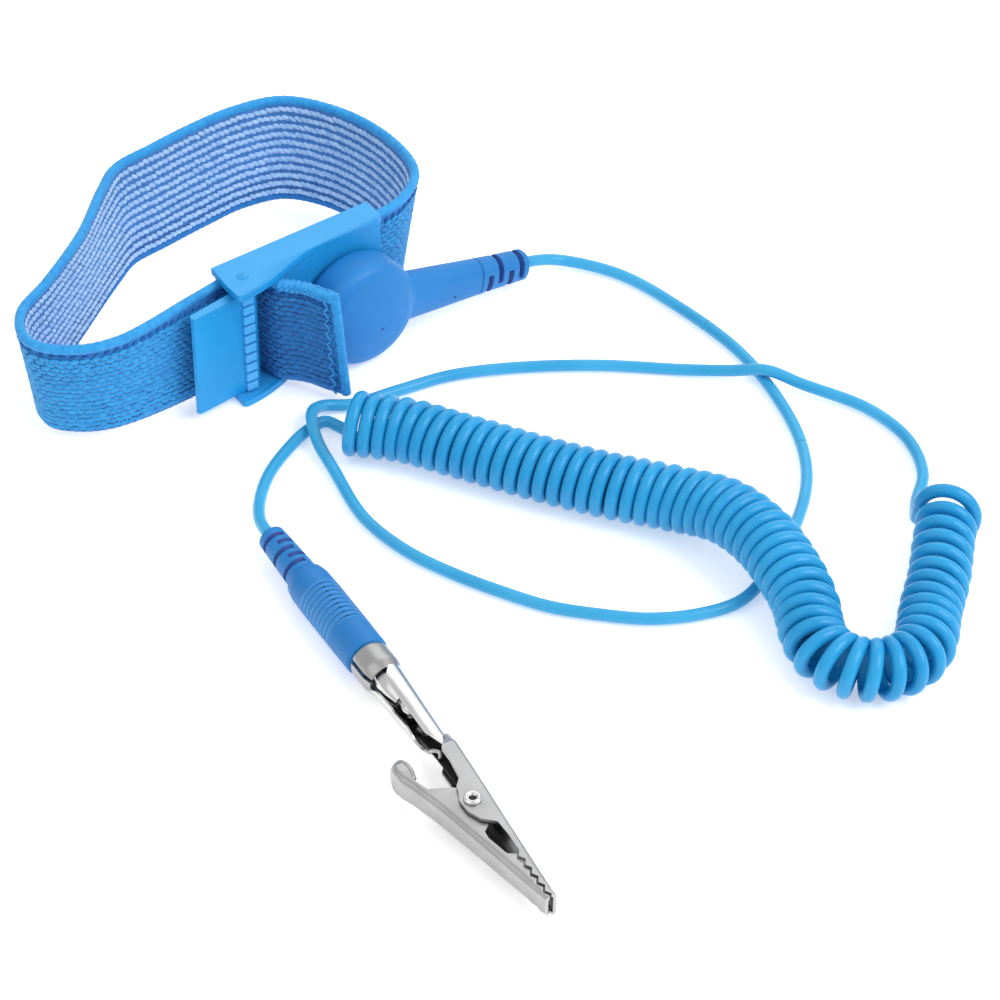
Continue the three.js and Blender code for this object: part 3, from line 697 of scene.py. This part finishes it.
def lever_shell():
    low, high = WALL + 0.15, HIGH - WALL - 0.8
    out, along, hub, flap = LEVER_OUT, LEVER_ALONG, 2.3, 9.6
    outline = [
        (out + hub, along + 0.4), (out + hub + 0.2, along - 2.4), (out + 2.35, along - 3.2),
        (out + 2.8, -flap * 0.5), (out + 3.1, -flap + 0.6), (out + 3, -flap),
        (out + 2.3, -flap - 0.2), (out + 1.6, -flap + 0.2), (out + 0.3, along - 3.2),
        (out - 1.3, along - 1.9),
    ]  # fmt: skip
    outline += arc((out, along), hub, -124, -342, 20)
    body = raised(buckle, outline, low, high)
    lever = piece(
        "lever_shell", *body, buckle_blue, "lever", replaces=["clasp_lever"], slot="buckle_plastic"
    )
    rounded(lever, 0.32, 4)
    teeth = []
    pitch = (high - low) / TEETH_ALONG_LEVER
    for k in range(TEETH_ALONG_LEVER):
        z = low + pitch * (k + 0.5)
        tall = (z - pitch * 0.38, z + pitch * 0.38)
        teeth.append(block(buckle, (out + 1.4, out + 3.2), (along - 2.1, along + 0.3), tall))
    bites = piece("lever_teeth", *merged(teeth), teeth_blue, "lever", slot="buckle_plastic")
    rounded(bites, 0.25, 3)


# ---- Snap connector -----------------------------------------------------------------------------

SNAP_AXIS, SNAP_REACH, DISC_R = 10.2, 38.5, 10.7
RELIEF_FROM = 27.0  # where the stem's slotted strain relief begins


def oval(axis_x, y, wide, deep, power, sides=48):
    """A superellipse section across y."""
    a = np.arange(sides) * 2 * math.pi / sides
    c, s = np.cos(a), np.sin(a)
    x = deep / 2 * np.sign(c) * np.abs(c) ** (2 / power)
    z = wide / 2 * np.sign(s) * np.abs(s) ** (2 / power)
    return np.column_stack([axis_x + x, np.full(sides, y), z])


def slotted_rod(place, axis_x, sections, slots, power, core):
    """A moulded rod along y from (y, wide, deep) sections. slots are (from, to, side): each is cut
    in from that side of z, and leaves a round core. Also gives the faces inside the slots."""
    knots = np.array(sections, float).T
    edges = [edge + gap for low, high, _ in slots for edge in (low, high) for gap in (-0.01, 0.01)]
    stations = sorted({*np.arange(knots[0, 0], knots[0, -1], 0.4), knots[0, -1], *knots[0], *edges})
    rings, sunk = [], []
    for y in stations:
        wide = np.interp(y, knots[0], knots[1])
        deep = np.interp(y, knots[0], knots[2])
        ring = oval(axis_x, y, wide, deep, power)
        inner = np.zeros(len(ring), bool)
        for low, high, side in slots:
            if low < y < high:
                offset = ring[:, [0, 2]] - [axis_x, 0]
                shrink = np.minimum(1, core / np.linalg.norm(offset, axis=1))
                shrink[ring[:, 2] * side < -1.0] = 1
                ring[:, [0, 2]] = [axis_x, 0] + offset * shrink[:, None]
                inner |= shrink < 1
        rings.append(place.points(ring))
        sunk += list(inner)
    points, faces = skin(rings)
    return points, faces, [k for k, face in enumerate(faces) if any(sunk[i] for i in face)]


def darkened(obj, faces, material):
    """Gives some of a piece's faces a second material."""
    obj.data.materials.append(material)
    for k in faces:
        obj.data.polygons[k].material_index = 1


STEM = [
    (4, 10.6, 5.6), (10, 10.2, 5.6), (18, 8.9, 5.5), (RELIEF_FROM, 7.3, 5.4), (32, 6.6, 5.2),
    (38, 6.0, 5.1), (SNAP_REACH, 5.2, 4.4),
]  # fmt: skip
RELIEF_CORE = 1.3


def snap_shell():
    stem = slotted_rod(connector, SNAP_AXIS, STEM[:4], [], 2.4, 0)[:2]
    dome = [
        (0.01, 6.7), (DISC_R - 0.7, 6.7), (DISC_R - 0.15, 6.95), (DISC_R, 7.5), (DISC_R, 12.2),
        (DISC_R - 0.25, 13), (9.7, 13.8), (8.2, 14.35), (5, 14.75), (0.01, 14.9),
    ]  # fmt: skip
    disc = turned(connector, 0, dome, 96)
    shell = piece(
        "snap_shell", *merged([stem, disc]), connector_blue, "snap_connector",
        replaces=["snap_cover"], slot="connector_vinyl",
    )  # fmt: skip
    fused(shell, 0.25, 6)
    slots = [(28.3 + 2.5 * k, 29.5 + 2.5 * k, 1 if k % 2 else -1) for k in range(4)]
    points, faces, sunk = slotted_rod(connector, SNAP_AXIS, STEM[3:], slots, 2.4, RELIEF_CORE)
    relief = piece(
        "snap_relief", points, faces, connector_blue, "snap_connector", slot="connector_vinyl"
    )
    # The slots' walls and floors are painted dark: painted shade.
    darkened(relief, sunk, groove_shade_and_mark_blue)
    marks = []
    for y, z, r, low, high in ((2.3, -2.6, 0.28, 14.4, 14.82), (20.5, -1.4, 0.26, 12.4, 12.95)):
        dot = [(0.01, low), (r, low), (r, high), (0.01, high)]
        marks.append(turned(connector.moved(0, y, z), 0, dot, 16))
    piece("gate_marks", *merged(marks), groove_shade_and_mark_blue, "snap_connector", slot="connector_vinyl")
    rim = [(3.9, 6.68), (5.6, 6.62), (5.9, 6.75), (5.9, 7.2), (3.9, 7.2)]
    piece("socket_rim", *turned(connector, 0, rim, 64), nickel, "snap_connector", slot="nickel")


# ---- Cord ---------------------------------------------------------------------------------------

CORD_R = 1.1
ON_TABLE = CORD_R + 0.1
OVER = ON_TABLE + 2.5
COIL_WIRE, COIL_RING, LAST_RING = 1.25, 4.8, 4.3  # radii of the wire and its turns
COIL_PITCH, LAST_PITCH, COIL_FLARE = 2.62, 3.7, 0.8


def smoothstep(value, start, end):
    t = np.clip((value - start) / (end - start), 0, 1)
    return t * t * (3 - 2 * t)


def coil_axis():
    """The coil's middle as (x, y, height over the table), evenly spaced."""
    points = [
        (-27, 14.3, 0), (-17, 12.2, 0), (-7, 7.8, 0), (7, 1.5, 0), (19, -3.2, 0), (31, -7.7, 0.6),
        (39.5, -13.6, 2.6), (45.5, -21, 2.8), (50, -30, 1.8), (52, -35.5, 0.6),
    ]  # fmt: skip
    points += [(x, y, 0) for x, y in arc((62.4, -41.4), 9.6, 185, 335, 6)]
    points += [(73.4, -35.5, 0), (75.4, -28, 0), (77, -19, 0), (78.8, -9.5, 0)]
    return spline([layout.at(*p) for p in points], 0.2)


def coil_path():
    """A helix round a curved axis; its turns spread in a bend and loosen at both ends."""
    axis = coil_axis()
    forward = directions(axis)
    step = np.linalg.norm(np.diff(axis, axis=0), axis=1).mean()
    count = len(axis) - 1
    window = 10
    k = np.arange(count)
    before = forward[np.maximum(k - window, 0)]
    after = forward[np.minimum(k + window, count)]
    bend = np.arccos(np.clip(np.sum(before * after, axis=1), -1, 1)) / (2 * window * step)
    share = smoothstep(np.arange(count + 1) / count, 0.5, 0.75)
    ring = COIL_RING + (LAST_RING - COIL_RING) * share
    straight = COIL_PITCH + (LAST_PITCH - COIL_PITCH) * smoothstep(k / count, 0.8, 0.9)
    packed = 0.3 + 0.55 * smoothstep(k / count, 0.775, 0.8)  # how little the inner side is squeezed
    pitch = np.maximum(straight, 2.1 * COIL_WIRE / (1 - bend * packed * ring[:-1]))
    turns = np.concatenate([[0], np.cumsum(step / pitch)])
    total = round(turns[-1]) - 0.25  # it ends on its way down
    turns *= total / turns[-1]
    turn = np.linspace(0, total, round(total * 28))
    at = np.interp(turn, turns, np.arange(count + 1))

    def along(values):
        return np.interp(at, np.arange(count + 1), values)

    centre = np.column_stack([along(axis[:, c]) for c in range(3)])
    ahead = np.column_stack([along(forward[:, c]) for c in range(3)])
    side = np.cross(UP, ahead)
    side /= np.linalg.norm(side, axis=1)[:, None]
    loose = smoothstep(1.2 - np.minimum(turn, total - turn), 0, 1.2) * COIL_FLARE
    radius = along(ring) + np.where(turn < total / 2, 0.1, 1) * loose
    outward = np.where(turn < total / 2, 0.2, -1.1) * loose
    a = 2 * math.pi * turn
    wire = centre + ahead * outward[:, None] - side * (radius * np.sin(a))[:, None]
    wire[:, 2] += radius + COIL_WIRE + 0.1 - radius * np.cos(a)
    return wire


def lead_path(wire):
    """From the connector, round the table and over itself, to the coil's right end."""
    on_table = [
        (12, 69.6, 1.9), (23, 66, ON_TABLE), (34.2, 55.4, ON_TABLE), (44.6, 42, ON_TABLE),
        (50.7, 29, ON_TABLE), (54.5, 15.6, ON_TABLE), (55, 4, ON_TABLE), (52.3, -8, ON_TABLE),
        (47.5, -19.5, ON_TABLE), (41.5, -28.5, ON_TABLE), (34.3, -31.9, ON_TABLE),
        (25.7, -33.1, ON_TABLE), (17, -32, ON_TABLE), (8.6, -30, ON_TABLE), (0, -26, ON_TABLE),
        (-8.7, -21, ON_TABLE), (-16.5, -15.2, ON_TABLE), (-24, -6.4, ON_TABLE),
        (-29.8, 6.6, ON_TABLE + 0.2), (-33.1, 14, ON_TABLE + 1.2), (-34.3, 20, OVER),
        (-32.5, 24.5, ON_TABLE + 0.8), (-27.3, 25.9, ON_TABLE), (-18.5, 30.2, ON_TABLE),
        (-9, 34.6, ON_TABLE), (3.7, 37, ON_TABLE), (18.6, 37.6, ON_TABLE), (34, 36.3, ON_TABLE),
        (43, 34.7, ON_TABLE + 1), (49.3, 32.9, OVER), (55.6, 30.8, ON_TABLE + 1),
        (67.4, 24.8, ON_TABLE), (74, 16, ON_TABLE), (76, 6, ON_TABLE), (74.2, -1.5, ON_TABLE),
    ]  # fmt: skip
    way = wire[-1] - wire[-2]
    way /= np.linalg.norm(way)
    points = [connector.at(SNAP_AXIS, SNAP_REACH + out, 0) for out in (-1, 3)]
    points += [layout.at(*p) for p in on_table]
    points += [wire[-1] + 3 * way, wire[-1] - 0.05 * way]
    return spline(points, 0.7)


def tail_path(wire):
    """From the coil's left end to the plug."""
    way = wire[0] - wire[1]
    way /= np.linalg.norm(way)
    to_plug = [
        (-29.6, 19.6, ON_TABLE), (-32, 20.9, ON_TABLE), (-35.2, 18.2, ON_TABLE),
        (-38.4, 13, ON_TABLE), (-41.4, 6, ON_TABLE), (-42.7, -1.5, ON_TABLE + 0.3),
        (-42.3, -8.8, ON_TABLE + 1.6),
    ]  # fmt: skip
    points = [wire[0] - 0.05 * way, wire[0] + 2.5 * way]
    points += [layout.at(*p) for p in to_plug]
    points += [plug.at(x, 0, PLUG_UP) for x in (-37, -33, -26, -17.8)]
    return spline(points, 0.6)


def first_past(line, start, end, begin=0):
    """Index of the line's first point that lies past the end, seen from the start."""
    share = (line[begin:] - start) @ (end - start) / np.sum((end - start) ** 2)
    return begin + int(np.argmax(share > 1.02))


def cord():
    wire = coil_path()
    coil = sweep(wire, COIL_WIRE, 14)
    piece("coil_wire", *coil, cord_blue, "strap", replaces=["cord_coil"], slot="cord_vinyl")

    lead = lead_path(wire)
    # Its first two stretches, next to the connector, are pieces of their own that ride on no body.
    swing_end = layout.at(38, 51, 0)
    slide_end = layout.at(54.5, 15.6, 0)
    first = first_past(lead, lead[0], swing_end)
    second = first_past(lead, swing_end, slide_end, first)
    swing = sweep(lead[: first + 1], CORD_R, 16)
    swing = piece("cord_swing", *swing, cord_pale, None, slot="cord_vinyl")
    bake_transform(swing)
    follow = sweep(lead[first : second + 1], CORD_R, 16)
    follow = piece("cord_follow", *follow, cord_pale, None, slot="cord_vinyl")
    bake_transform(follow)
    rest = sweep(lead[second:], CORD_R, 16)
    piece("cord_main", *rest, cord_pale, "strap", replaces=["cord_lead"], slot="cord_vinyl")

    tail = sweep(tail_path(wire), CORD_R, 16)
    piece("cord_tail", *tail, cord_pale, "strap", replaces=["cord_plug_run"], slot="cord_vinyl")


# ---- Banana plug --------------------------------------------------------------------------------

GROOVES, RELIEF_SLOTS = 9, 5


def plug_shell():
    rear = -36.0
    # x up, y from the mouth to the tip, z across.
    place = Place(plug.at(0, 0, PLUG_UP), plug.axes[2], plug.axes[0], plug.axes[1])
    sections = [(rear, 4.2), (rear + 0.4, 5.0), (-23.4, 6.0), (-22.6, 7.2), (-21, 7.8)]
    for k in range(GROOVES):
        y = -16.5 + 1.2 * k
        sections += [(y - 0.3, 8.0), (y - 0.12, 7.45), (y + 0.12, 7.45), (y + 0.3, 8.0)]
    sections += [(-0.6, 7.9), (0, 7.3)]
    sections = [(y, wide, wide) for y, wide in sections]
    slots = []
    for k in range(RELIEF_SLOTS):
        y = rear + 2.0 + 2.1 * k
        slots.append((y, y + 1.0, 1 if k % 2 else -1))
    points, faces, sunk = slotted_rod(place, 0, sections, slots, 2, RELIEF_CORE)
    shell = piece(
        "plug_shell", points, faces, grip_blue, "strap",
        replaces=["plug_grip"], slot="connector_vinyl",
    )  # fmt: skip
    # The slots' walls and floors are painted dark: painted shade.
    darkened(shell, sunk, groove_shade_and_mark_blue)


def pin_shell():
    """The banana pin with its bulged leaf cage, inside the clip's barrel."""
    place = Place(plug.at(0, 0, PLUG_UP), plug.axes[1], plug.axes[2], plug.axes[0])
    pin = [
        (0.01, -13.5), (1.6, -13.5), (1.6, -9), (2.2, -9), (2.2, -6.3), (1.5, -6.3), (1.5, 2.6),
        (1.05, 2.7), (1.05, 12.7), (1.5, 12.8), (1.42, 15), (1.1, 15.8), (0.7, 16.1), (0.01, 16.2),
    ]  # fmt: skip
    pin = turned(place, 2, pin)
    piece("pin_shell", *pin, nickel_bright, "strap", replaces=["banana_pin"], slot="nickel")
    bulge = bezier((3, 1.5), (5, 2.1), (6, 2.3), (7.8, 2.3), 8)
    bulge += bezier((7.9, 2.3), (9.5, 2.3), (10.6, 2.1), (12.6, 1.5), 8)
    leaves = []
    for k in range(4):
        a = math.radians(90 * k + 45) + np.radians(np.linspace(-36, 36, 9))
        rings = []
        for y, r in bulge:
            leaf = np.column_stack([r * np.cos(a), r * np.sin(a), np.full(len(a), y)])
            rings.append(place.points(leaf))
        leaves.append(skin(rings, False, False))
    cage = piece(
        "pin_leaves", *merged(leaves), nickel_bright, "plug_cage",
        replaces=["banana_spring"], slot="nickel",
    )  # fmt: skip
    thickened(cage, LEAF_SHEET)


# ---- Crocodile clip -----------------------------------------------------------------------------

TIP, TEETH_FROM, TEETH, TOOTH = 64.4, 54.2, 5, 0.62
SHEET, THIN_SHEET, LEAF_SHEET = 0.6, 0.5, 0.25  # the jaws, the barrel and neck, the pin's leaves
RIVET_R, RIVET_SHANK, RIVET_HOLE = 1.5, 1.2, 0.55
NECK_FLOOR = 1.15


def ramp(x, knots):
    return float(np.interp(x, [k[0] for k in knots], [k[1] for k in knots]))


def saw(x):
    """The tooth profile: 0 at the root, one tooth high at the crest."""
    phase = (x - TEETH_FROM) / (TIP - TEETH_FROM) * TEETH
    return TOOTH * (1 - abs(2 * (phase % 1) - 1))


def jaw_stations(start):
    """Stations that fall on every tooth's root and crest."""
    step = (TIP - TEETH_FROM) / (2 * TEETH)
    smooth = list(np.arange(start, TEETH_FROM - 0.2, 0.35))
    return smooth + [TEETH_FROM + step * k for k in range(2 * TEETH + 1)] + [TIP + 0.3]


def quarter(count=6):
    return np.linspace(0, math.pi / 2, count)


def folded_sheet(name, stations, back, edge, low, high, fold, body, replaces):
    """A channel of sheet steel with its spine along back(x); both walls reach to edge(x).
    low(x) and high(x) are the walls' heights over the table, at the middle of the sheet."""
    rings = []
    for x in stations:
        z0, z1, spine, rim = low(x), high(x), back(x), edge(x)
        way = 1 if rim > spine else -1
        r = min(fold, abs(rim - spine) * 0.8, (z1 - z0) * 0.45)
        section = [(rim, z0)]
        for a in quarter():
            section.append((spine + way * r * (1 - math.sin(a)), z0 + r * (1 - math.cos(a))))
        for a in quarter():
            section.append((spine + way * r * (1 - math.cos(a)), z1 - r * (1 - math.sin(a))))
        section.append((rim, z1))
        rings.append(plug.points([(x, y, z) for y, z in section]))
    sheet = piece(name, *skin(rings, False, False), nickel, body, replaces=replaces, slot="nickel")
    return thickened(sheet, SHEET)


def thickened(sheet, thickness):
    solidify = sheet.modifiers.new("sheet", "SOLIDIFY")
    solidify.thickness = thickness * MM
    solidify.offset = 0
    solidify.use_even_offset = True
    return rounded(sheet, 0.1, 2, 40)


def fixed_jaw():
    def back(x):
        return ramp(
            x, [(24, 2.1), (27.6, 1.5), (38.4, 0.6), (48.7, -0.4), (57.8, -1.0), (TIP, -1.45)]
        )

    def edge(x):
        if x >= TEETH_FROM:
            return -1.9 - saw(x)
        return ramp(
            x,
            [(24, 1.3), (25.5, 0.9), (27, -0.6), (28, -1.4), (31, -1.5), (35.3, -2.2), (37.1, -3.7),
             (38, -3.9), (40.2, -4.85), (42.8, -4.85), (45.4, -3.8), (47.2, -1.8), (50.5, -1.75),
             (52.7, -1.85), (TEETH_FROM, -1.9)],
        )  # fmt: skip

    def low(x):
        return ramp(x, [(24, 1.2), (50, 1.2), (TIP, 1.9)])

    def high(x):
        return ramp(x, [(24, 5.3), (27.4, 6.9), (50, 6.9), (TIP, 6.0)])

    folded_sheet("clip_upper", jaw_stations(24), back, edge, low, high, 0.7, "clip", ["fixed_jaw"])


def moving_jaw():
    def back(x):
        return ramp(
            x,
            [(26.2, -9.3), (26.8, -10), (28.2, -10.35), (30.5, -10.2), (33, -9.3), (38.9, -7.8),
             (TIP, -2.95)],
        )  # fmt: skip

    def edge(x):
        if x >= TEETH_FROM:
            return -2.25 - saw(x)
        return ramp(
            x,
            [(26.2, -8.9), (27, -8.3), (29, -8.1), (32.1, -8.4), (34.6, -7.6), (35.4, -5.8),
             (36.3, -3.9), (37.5, -2.6), (41, -2.2), (44.4, -2.4), (46.3, -2.8), (47.5, -4.3),
             (49.1, -4.5), (53.4, -3.6), (TEETH_FROM, -2.25)],
        )  # fmt: skip

    def low(x):
        return ramp(
            x, [(26.2, 3.3), (26.6, 2.4), (27.4, 1.9), (29, 1.6), (30, 1.95), (50, 2.1), (TIP, 2.2)]
        )

    def high(x):
        return ramp(
            x, [(26.2, 4.9), (26.6, 5.8), (27.4, 6.3), (29, 6.4), (33, 6.15), (50, 6.1), (TIP, 5.7)]
        )

    folded_sheet(
        "clip_lower", jaw_stations(26.2), back, edge, low, high, 0.9, "clip_jaw", ["moving_jaw"]
    )
    rim = [
        (26.1, -9.2, 4.9), (26.5, -8.5, 5.9), (27.6, -8.0, 6.4), (29.3, -7.9, 6.45),
        (31.4, -8.3, 6.2),
    ]  # fmt: skip
    rolled = sweep(plug.points(spline(rim, 0.3)), 0.42, 10)
    piece("thumb_rim", *rolled, nickel, "clip_jaw", slot="nickel")


def neck():
    """The barrel that grips the plug, and the rolled neck that joins it to the jaw."""
    place = plug.moved(0, 0, PLUG_UP)
    rings = []
    for x in np.arange(0.5, 6.6, 0.4):
        r = ramp(x, [(0.5, 3.3), (0.9, 3.45), (4.8, 3.45), (6.5, 2.95)])
        a = np.radians(np.linspace(166, 166 + 348, 48))
        rings.append(place.points(np.column_stack([np.full(48, x), r * np.cos(a), r * np.sin(a)])))
    barrel = piece("clip_barrel", *skin(rings, False, False), nickel, "clip", slot="nickel")
    thickened(barrel, THIN_SHEET)

    # The sheet runs from above the far side, under the pin and up the near side, to an open seam.
    rings = []
    for x in np.arange(6.2, 28.6, 0.4):
        r = ramp(x, [(6.2, 3.0), (9.5, 2.85), (17, 2.45), (28.6, 1.9)])
        far = ramp(x, [(6.2, 80), (8.6, 116), (22, 120), (26, 80), (28.6, 40)])
        near = ramp(
            x,
            [(6.2, -165), (8.4, -190), (13, -198), (13.8, -190), (18, -196), (20, -180), (22, -130),
             (25, -92), (28.6, -80)],
        )
        a = np.radians(np.linspace(far, near, 40))
        z = NECK_FLOOR + r * (1 + np.sin(a))
        rings.append(plug.points(np.column_stack([np.full(40, x), r * np.cos(a), z])))
    channel = piece("clip_neck", *skin(rings, False, False), nickel_bright, "clip", slot="nickel")
    thickened(channel, THIN_SHEET)
    hook = [(23.6, -1.2, 2.4), (24.6, -1.05, 3.5), (25.8, -0.5, 3.8), (26.6, -0.8, 3.2)]
    hook = sweep(plug.points(spline(hook, 0.3)), 0.38, 10)
    piece("spring_hook", *hook, nickel, "clip", slot="nickel")


def jaw_spring():
    """A torsion spring on the rivet, a leg against each jaw, and behind it a dark sheet that is
    painted shade for the fixed jaw's hollow.
    """
    centre = plug.moved(*PIVOT, 0)
    turns = 2
    a = np.linspace(0, 2 * math.pi * turns, 28 * turns)
    coil = np.column_stack([2.0 * np.sin(a), 2.0 * np.cos(a), 3.0 + 1.9 * a / a[-1]])
    lead_in = np.array([[-8.5, 2.4, 3.0], [-5, 2.2, 3.0], [-2.0, 2.05, 3.0]])
    wire = sweep(centre.points(spline(np.concatenate([lead_in, coil]), 0.3)), 0.34, 10)
    piece("spring_coil", *wire, blued_and_painted_shade, "clip", replaces=["jaw_spring"], slot="steel")
    leg = [(-0.6, 1.9, 5.3), (-2.2, 0.5, 5.35), (-4.2, -2.4, 5.35), (-5.4, -4.6, 5.3)]
    leg = sweep(centre.points(spline(leg, 0.3)), 0.3, 10)
    piece("spring_leg", *leg, blued_and_painted_shade, "clip_jaw", slot="steel")
    # A flat dark sheet between the fixed jaw's plates: painted shade for the dark hollow there, not a
    # part of the clip.
    leaf = [(20, -1.2), (28, -1.25), (36.4, -1.4), (37, -1.1), (30, 0.7), (22, 1.5), (20.5, 0.4)]
    leaf = piece("painted_shade_leaf", *raised(plug, leaf, 2.55, 2.95), blued_and_painted_shade, "clip", slot="steel")
    rounded(leaf, 0.15, 2)


def rivet():
    """A tubular rivet with a rolled rim on each side."""
    place = plug.moved(*PIVOT, 0)
    shank, rim, hole = RIVET_SHANK, RIVET_R, RIVET_HOLE
    side = [(shank, 3.5), (shank, 7.15), (rim, 7.25), (rim, 7.55), (1.15, 7.95), (0.8, 7.8)]
    upper = turned(place, 2, side + [(hole, 7.4), (hole, 3.5)], 32)
    side = [(shank, 3.5), (shank, 0.95), (rim, 0.85), (rim, 0.6), (1.15, 0.35), (0.8, 0.45)]
    lower = turned(place, 2, side + [(hole, 0.7), (hole, 3.5)], 32)
    piece(
        "rivet_tube", *merged([upper, lower]), nickel_bright, "clip",
        replaces=["jaw_rivet"], slot="nickel",
    )  # fmt: skip
    # A dark plug that fills the rivet's hole: painted shade for the hole's dark inside.
    bore = turned(place, 2, [(0.01, 0.66), (hole, 0.66), (hole, 7.45), (0.01, 7.45)], 24)
    piece("rivet_bore_shade", *bore, blued_and_painted_shade, "clip", slot="steel")


# ---- Stage --------------------------------------------------------------------------------------


def stage():
    centre = layout.at(0, 0, 0) * MM
    bpy.ops.mesh.primitive_plane_add(size=6, location=(centre[0], centre[1], -0.0002))
    floor = bpy.context.object
    floor.name = "floor"
    surface = Surface("floor_white", (0.93, 0.93, 0.93, 1), 0.6)
    surface.colours(surface.noise(4, 2), (0.92, 0.92, 0.92, 1), (0.94, 0.94, 0.94, 1))
    surface.set(Emission_Color=(1, 1, 1, 1), Emission_Strength=0.36)
    floor.data.materials.append(surface.material)

    world = bpy.data.worlds.new("studio")
    bpy.context.scene.world = world
    world.use_nodes = True
    world.node_tree.nodes["Background"].inputs["Color"].default_value = (1, 1, 1, 1)
    world.node_tree.nodes["Background"].inputs["Strength"].default_value = 0.72

    def soft_light(name, place, size, power):
        data = bpy.data.lights.new(name, "AREA")
        data.size = size
        data.energy = power
        light = bpy.data.objects.new(name, data)
        light.location = Vector(place)
        light.rotation_euler = (Vector(centre) - light.location).to_track_quat("-Z", "Y").to_euler()
        bpy.context.scene.collection.objects.link(light)

    soft_light("key", (0.7, -0.25, 0.8), 0.7, 7.5)
    soft_light("fill", (-0.6, -0.35, 0.8), 1.0, 2)
    soft_light("back", (0.1, 0.9, 0.8), 1.0, 3)

    elevation, distance = math.radians(40), 0.661
    camera_data = bpy.data.cameras.new("camera")
    camera_data.lens = 133.2
    camera_data.sensor_width = 36
    camera = bpy.data.objects.new("camera", camera_data)
    offset = Vector((0, -math.cos(elevation), math.sin(elevation))) * distance
    camera.location = Vector(centre) + offset
    camera.rotation_euler = (-offset).to_track_quat("-Z", "Y").to_euler()
    bpy.context.scene.collection.objects.link(camera)
    bpy.context.scene.camera = camera
    bpy.context.scene.view_settings.view_transform = "Standard"


# ---- Assembly -----------------------------------------------------------------------------------

dress_cad_nodes()
elastic_band()
buckle_shell()
lever_shell()
snap_shell()
cord()
plug_shell()
pin_shell()
fixed_jaw()
moving_jaw()
neck()
jaw_spring()
rivet()
stage()
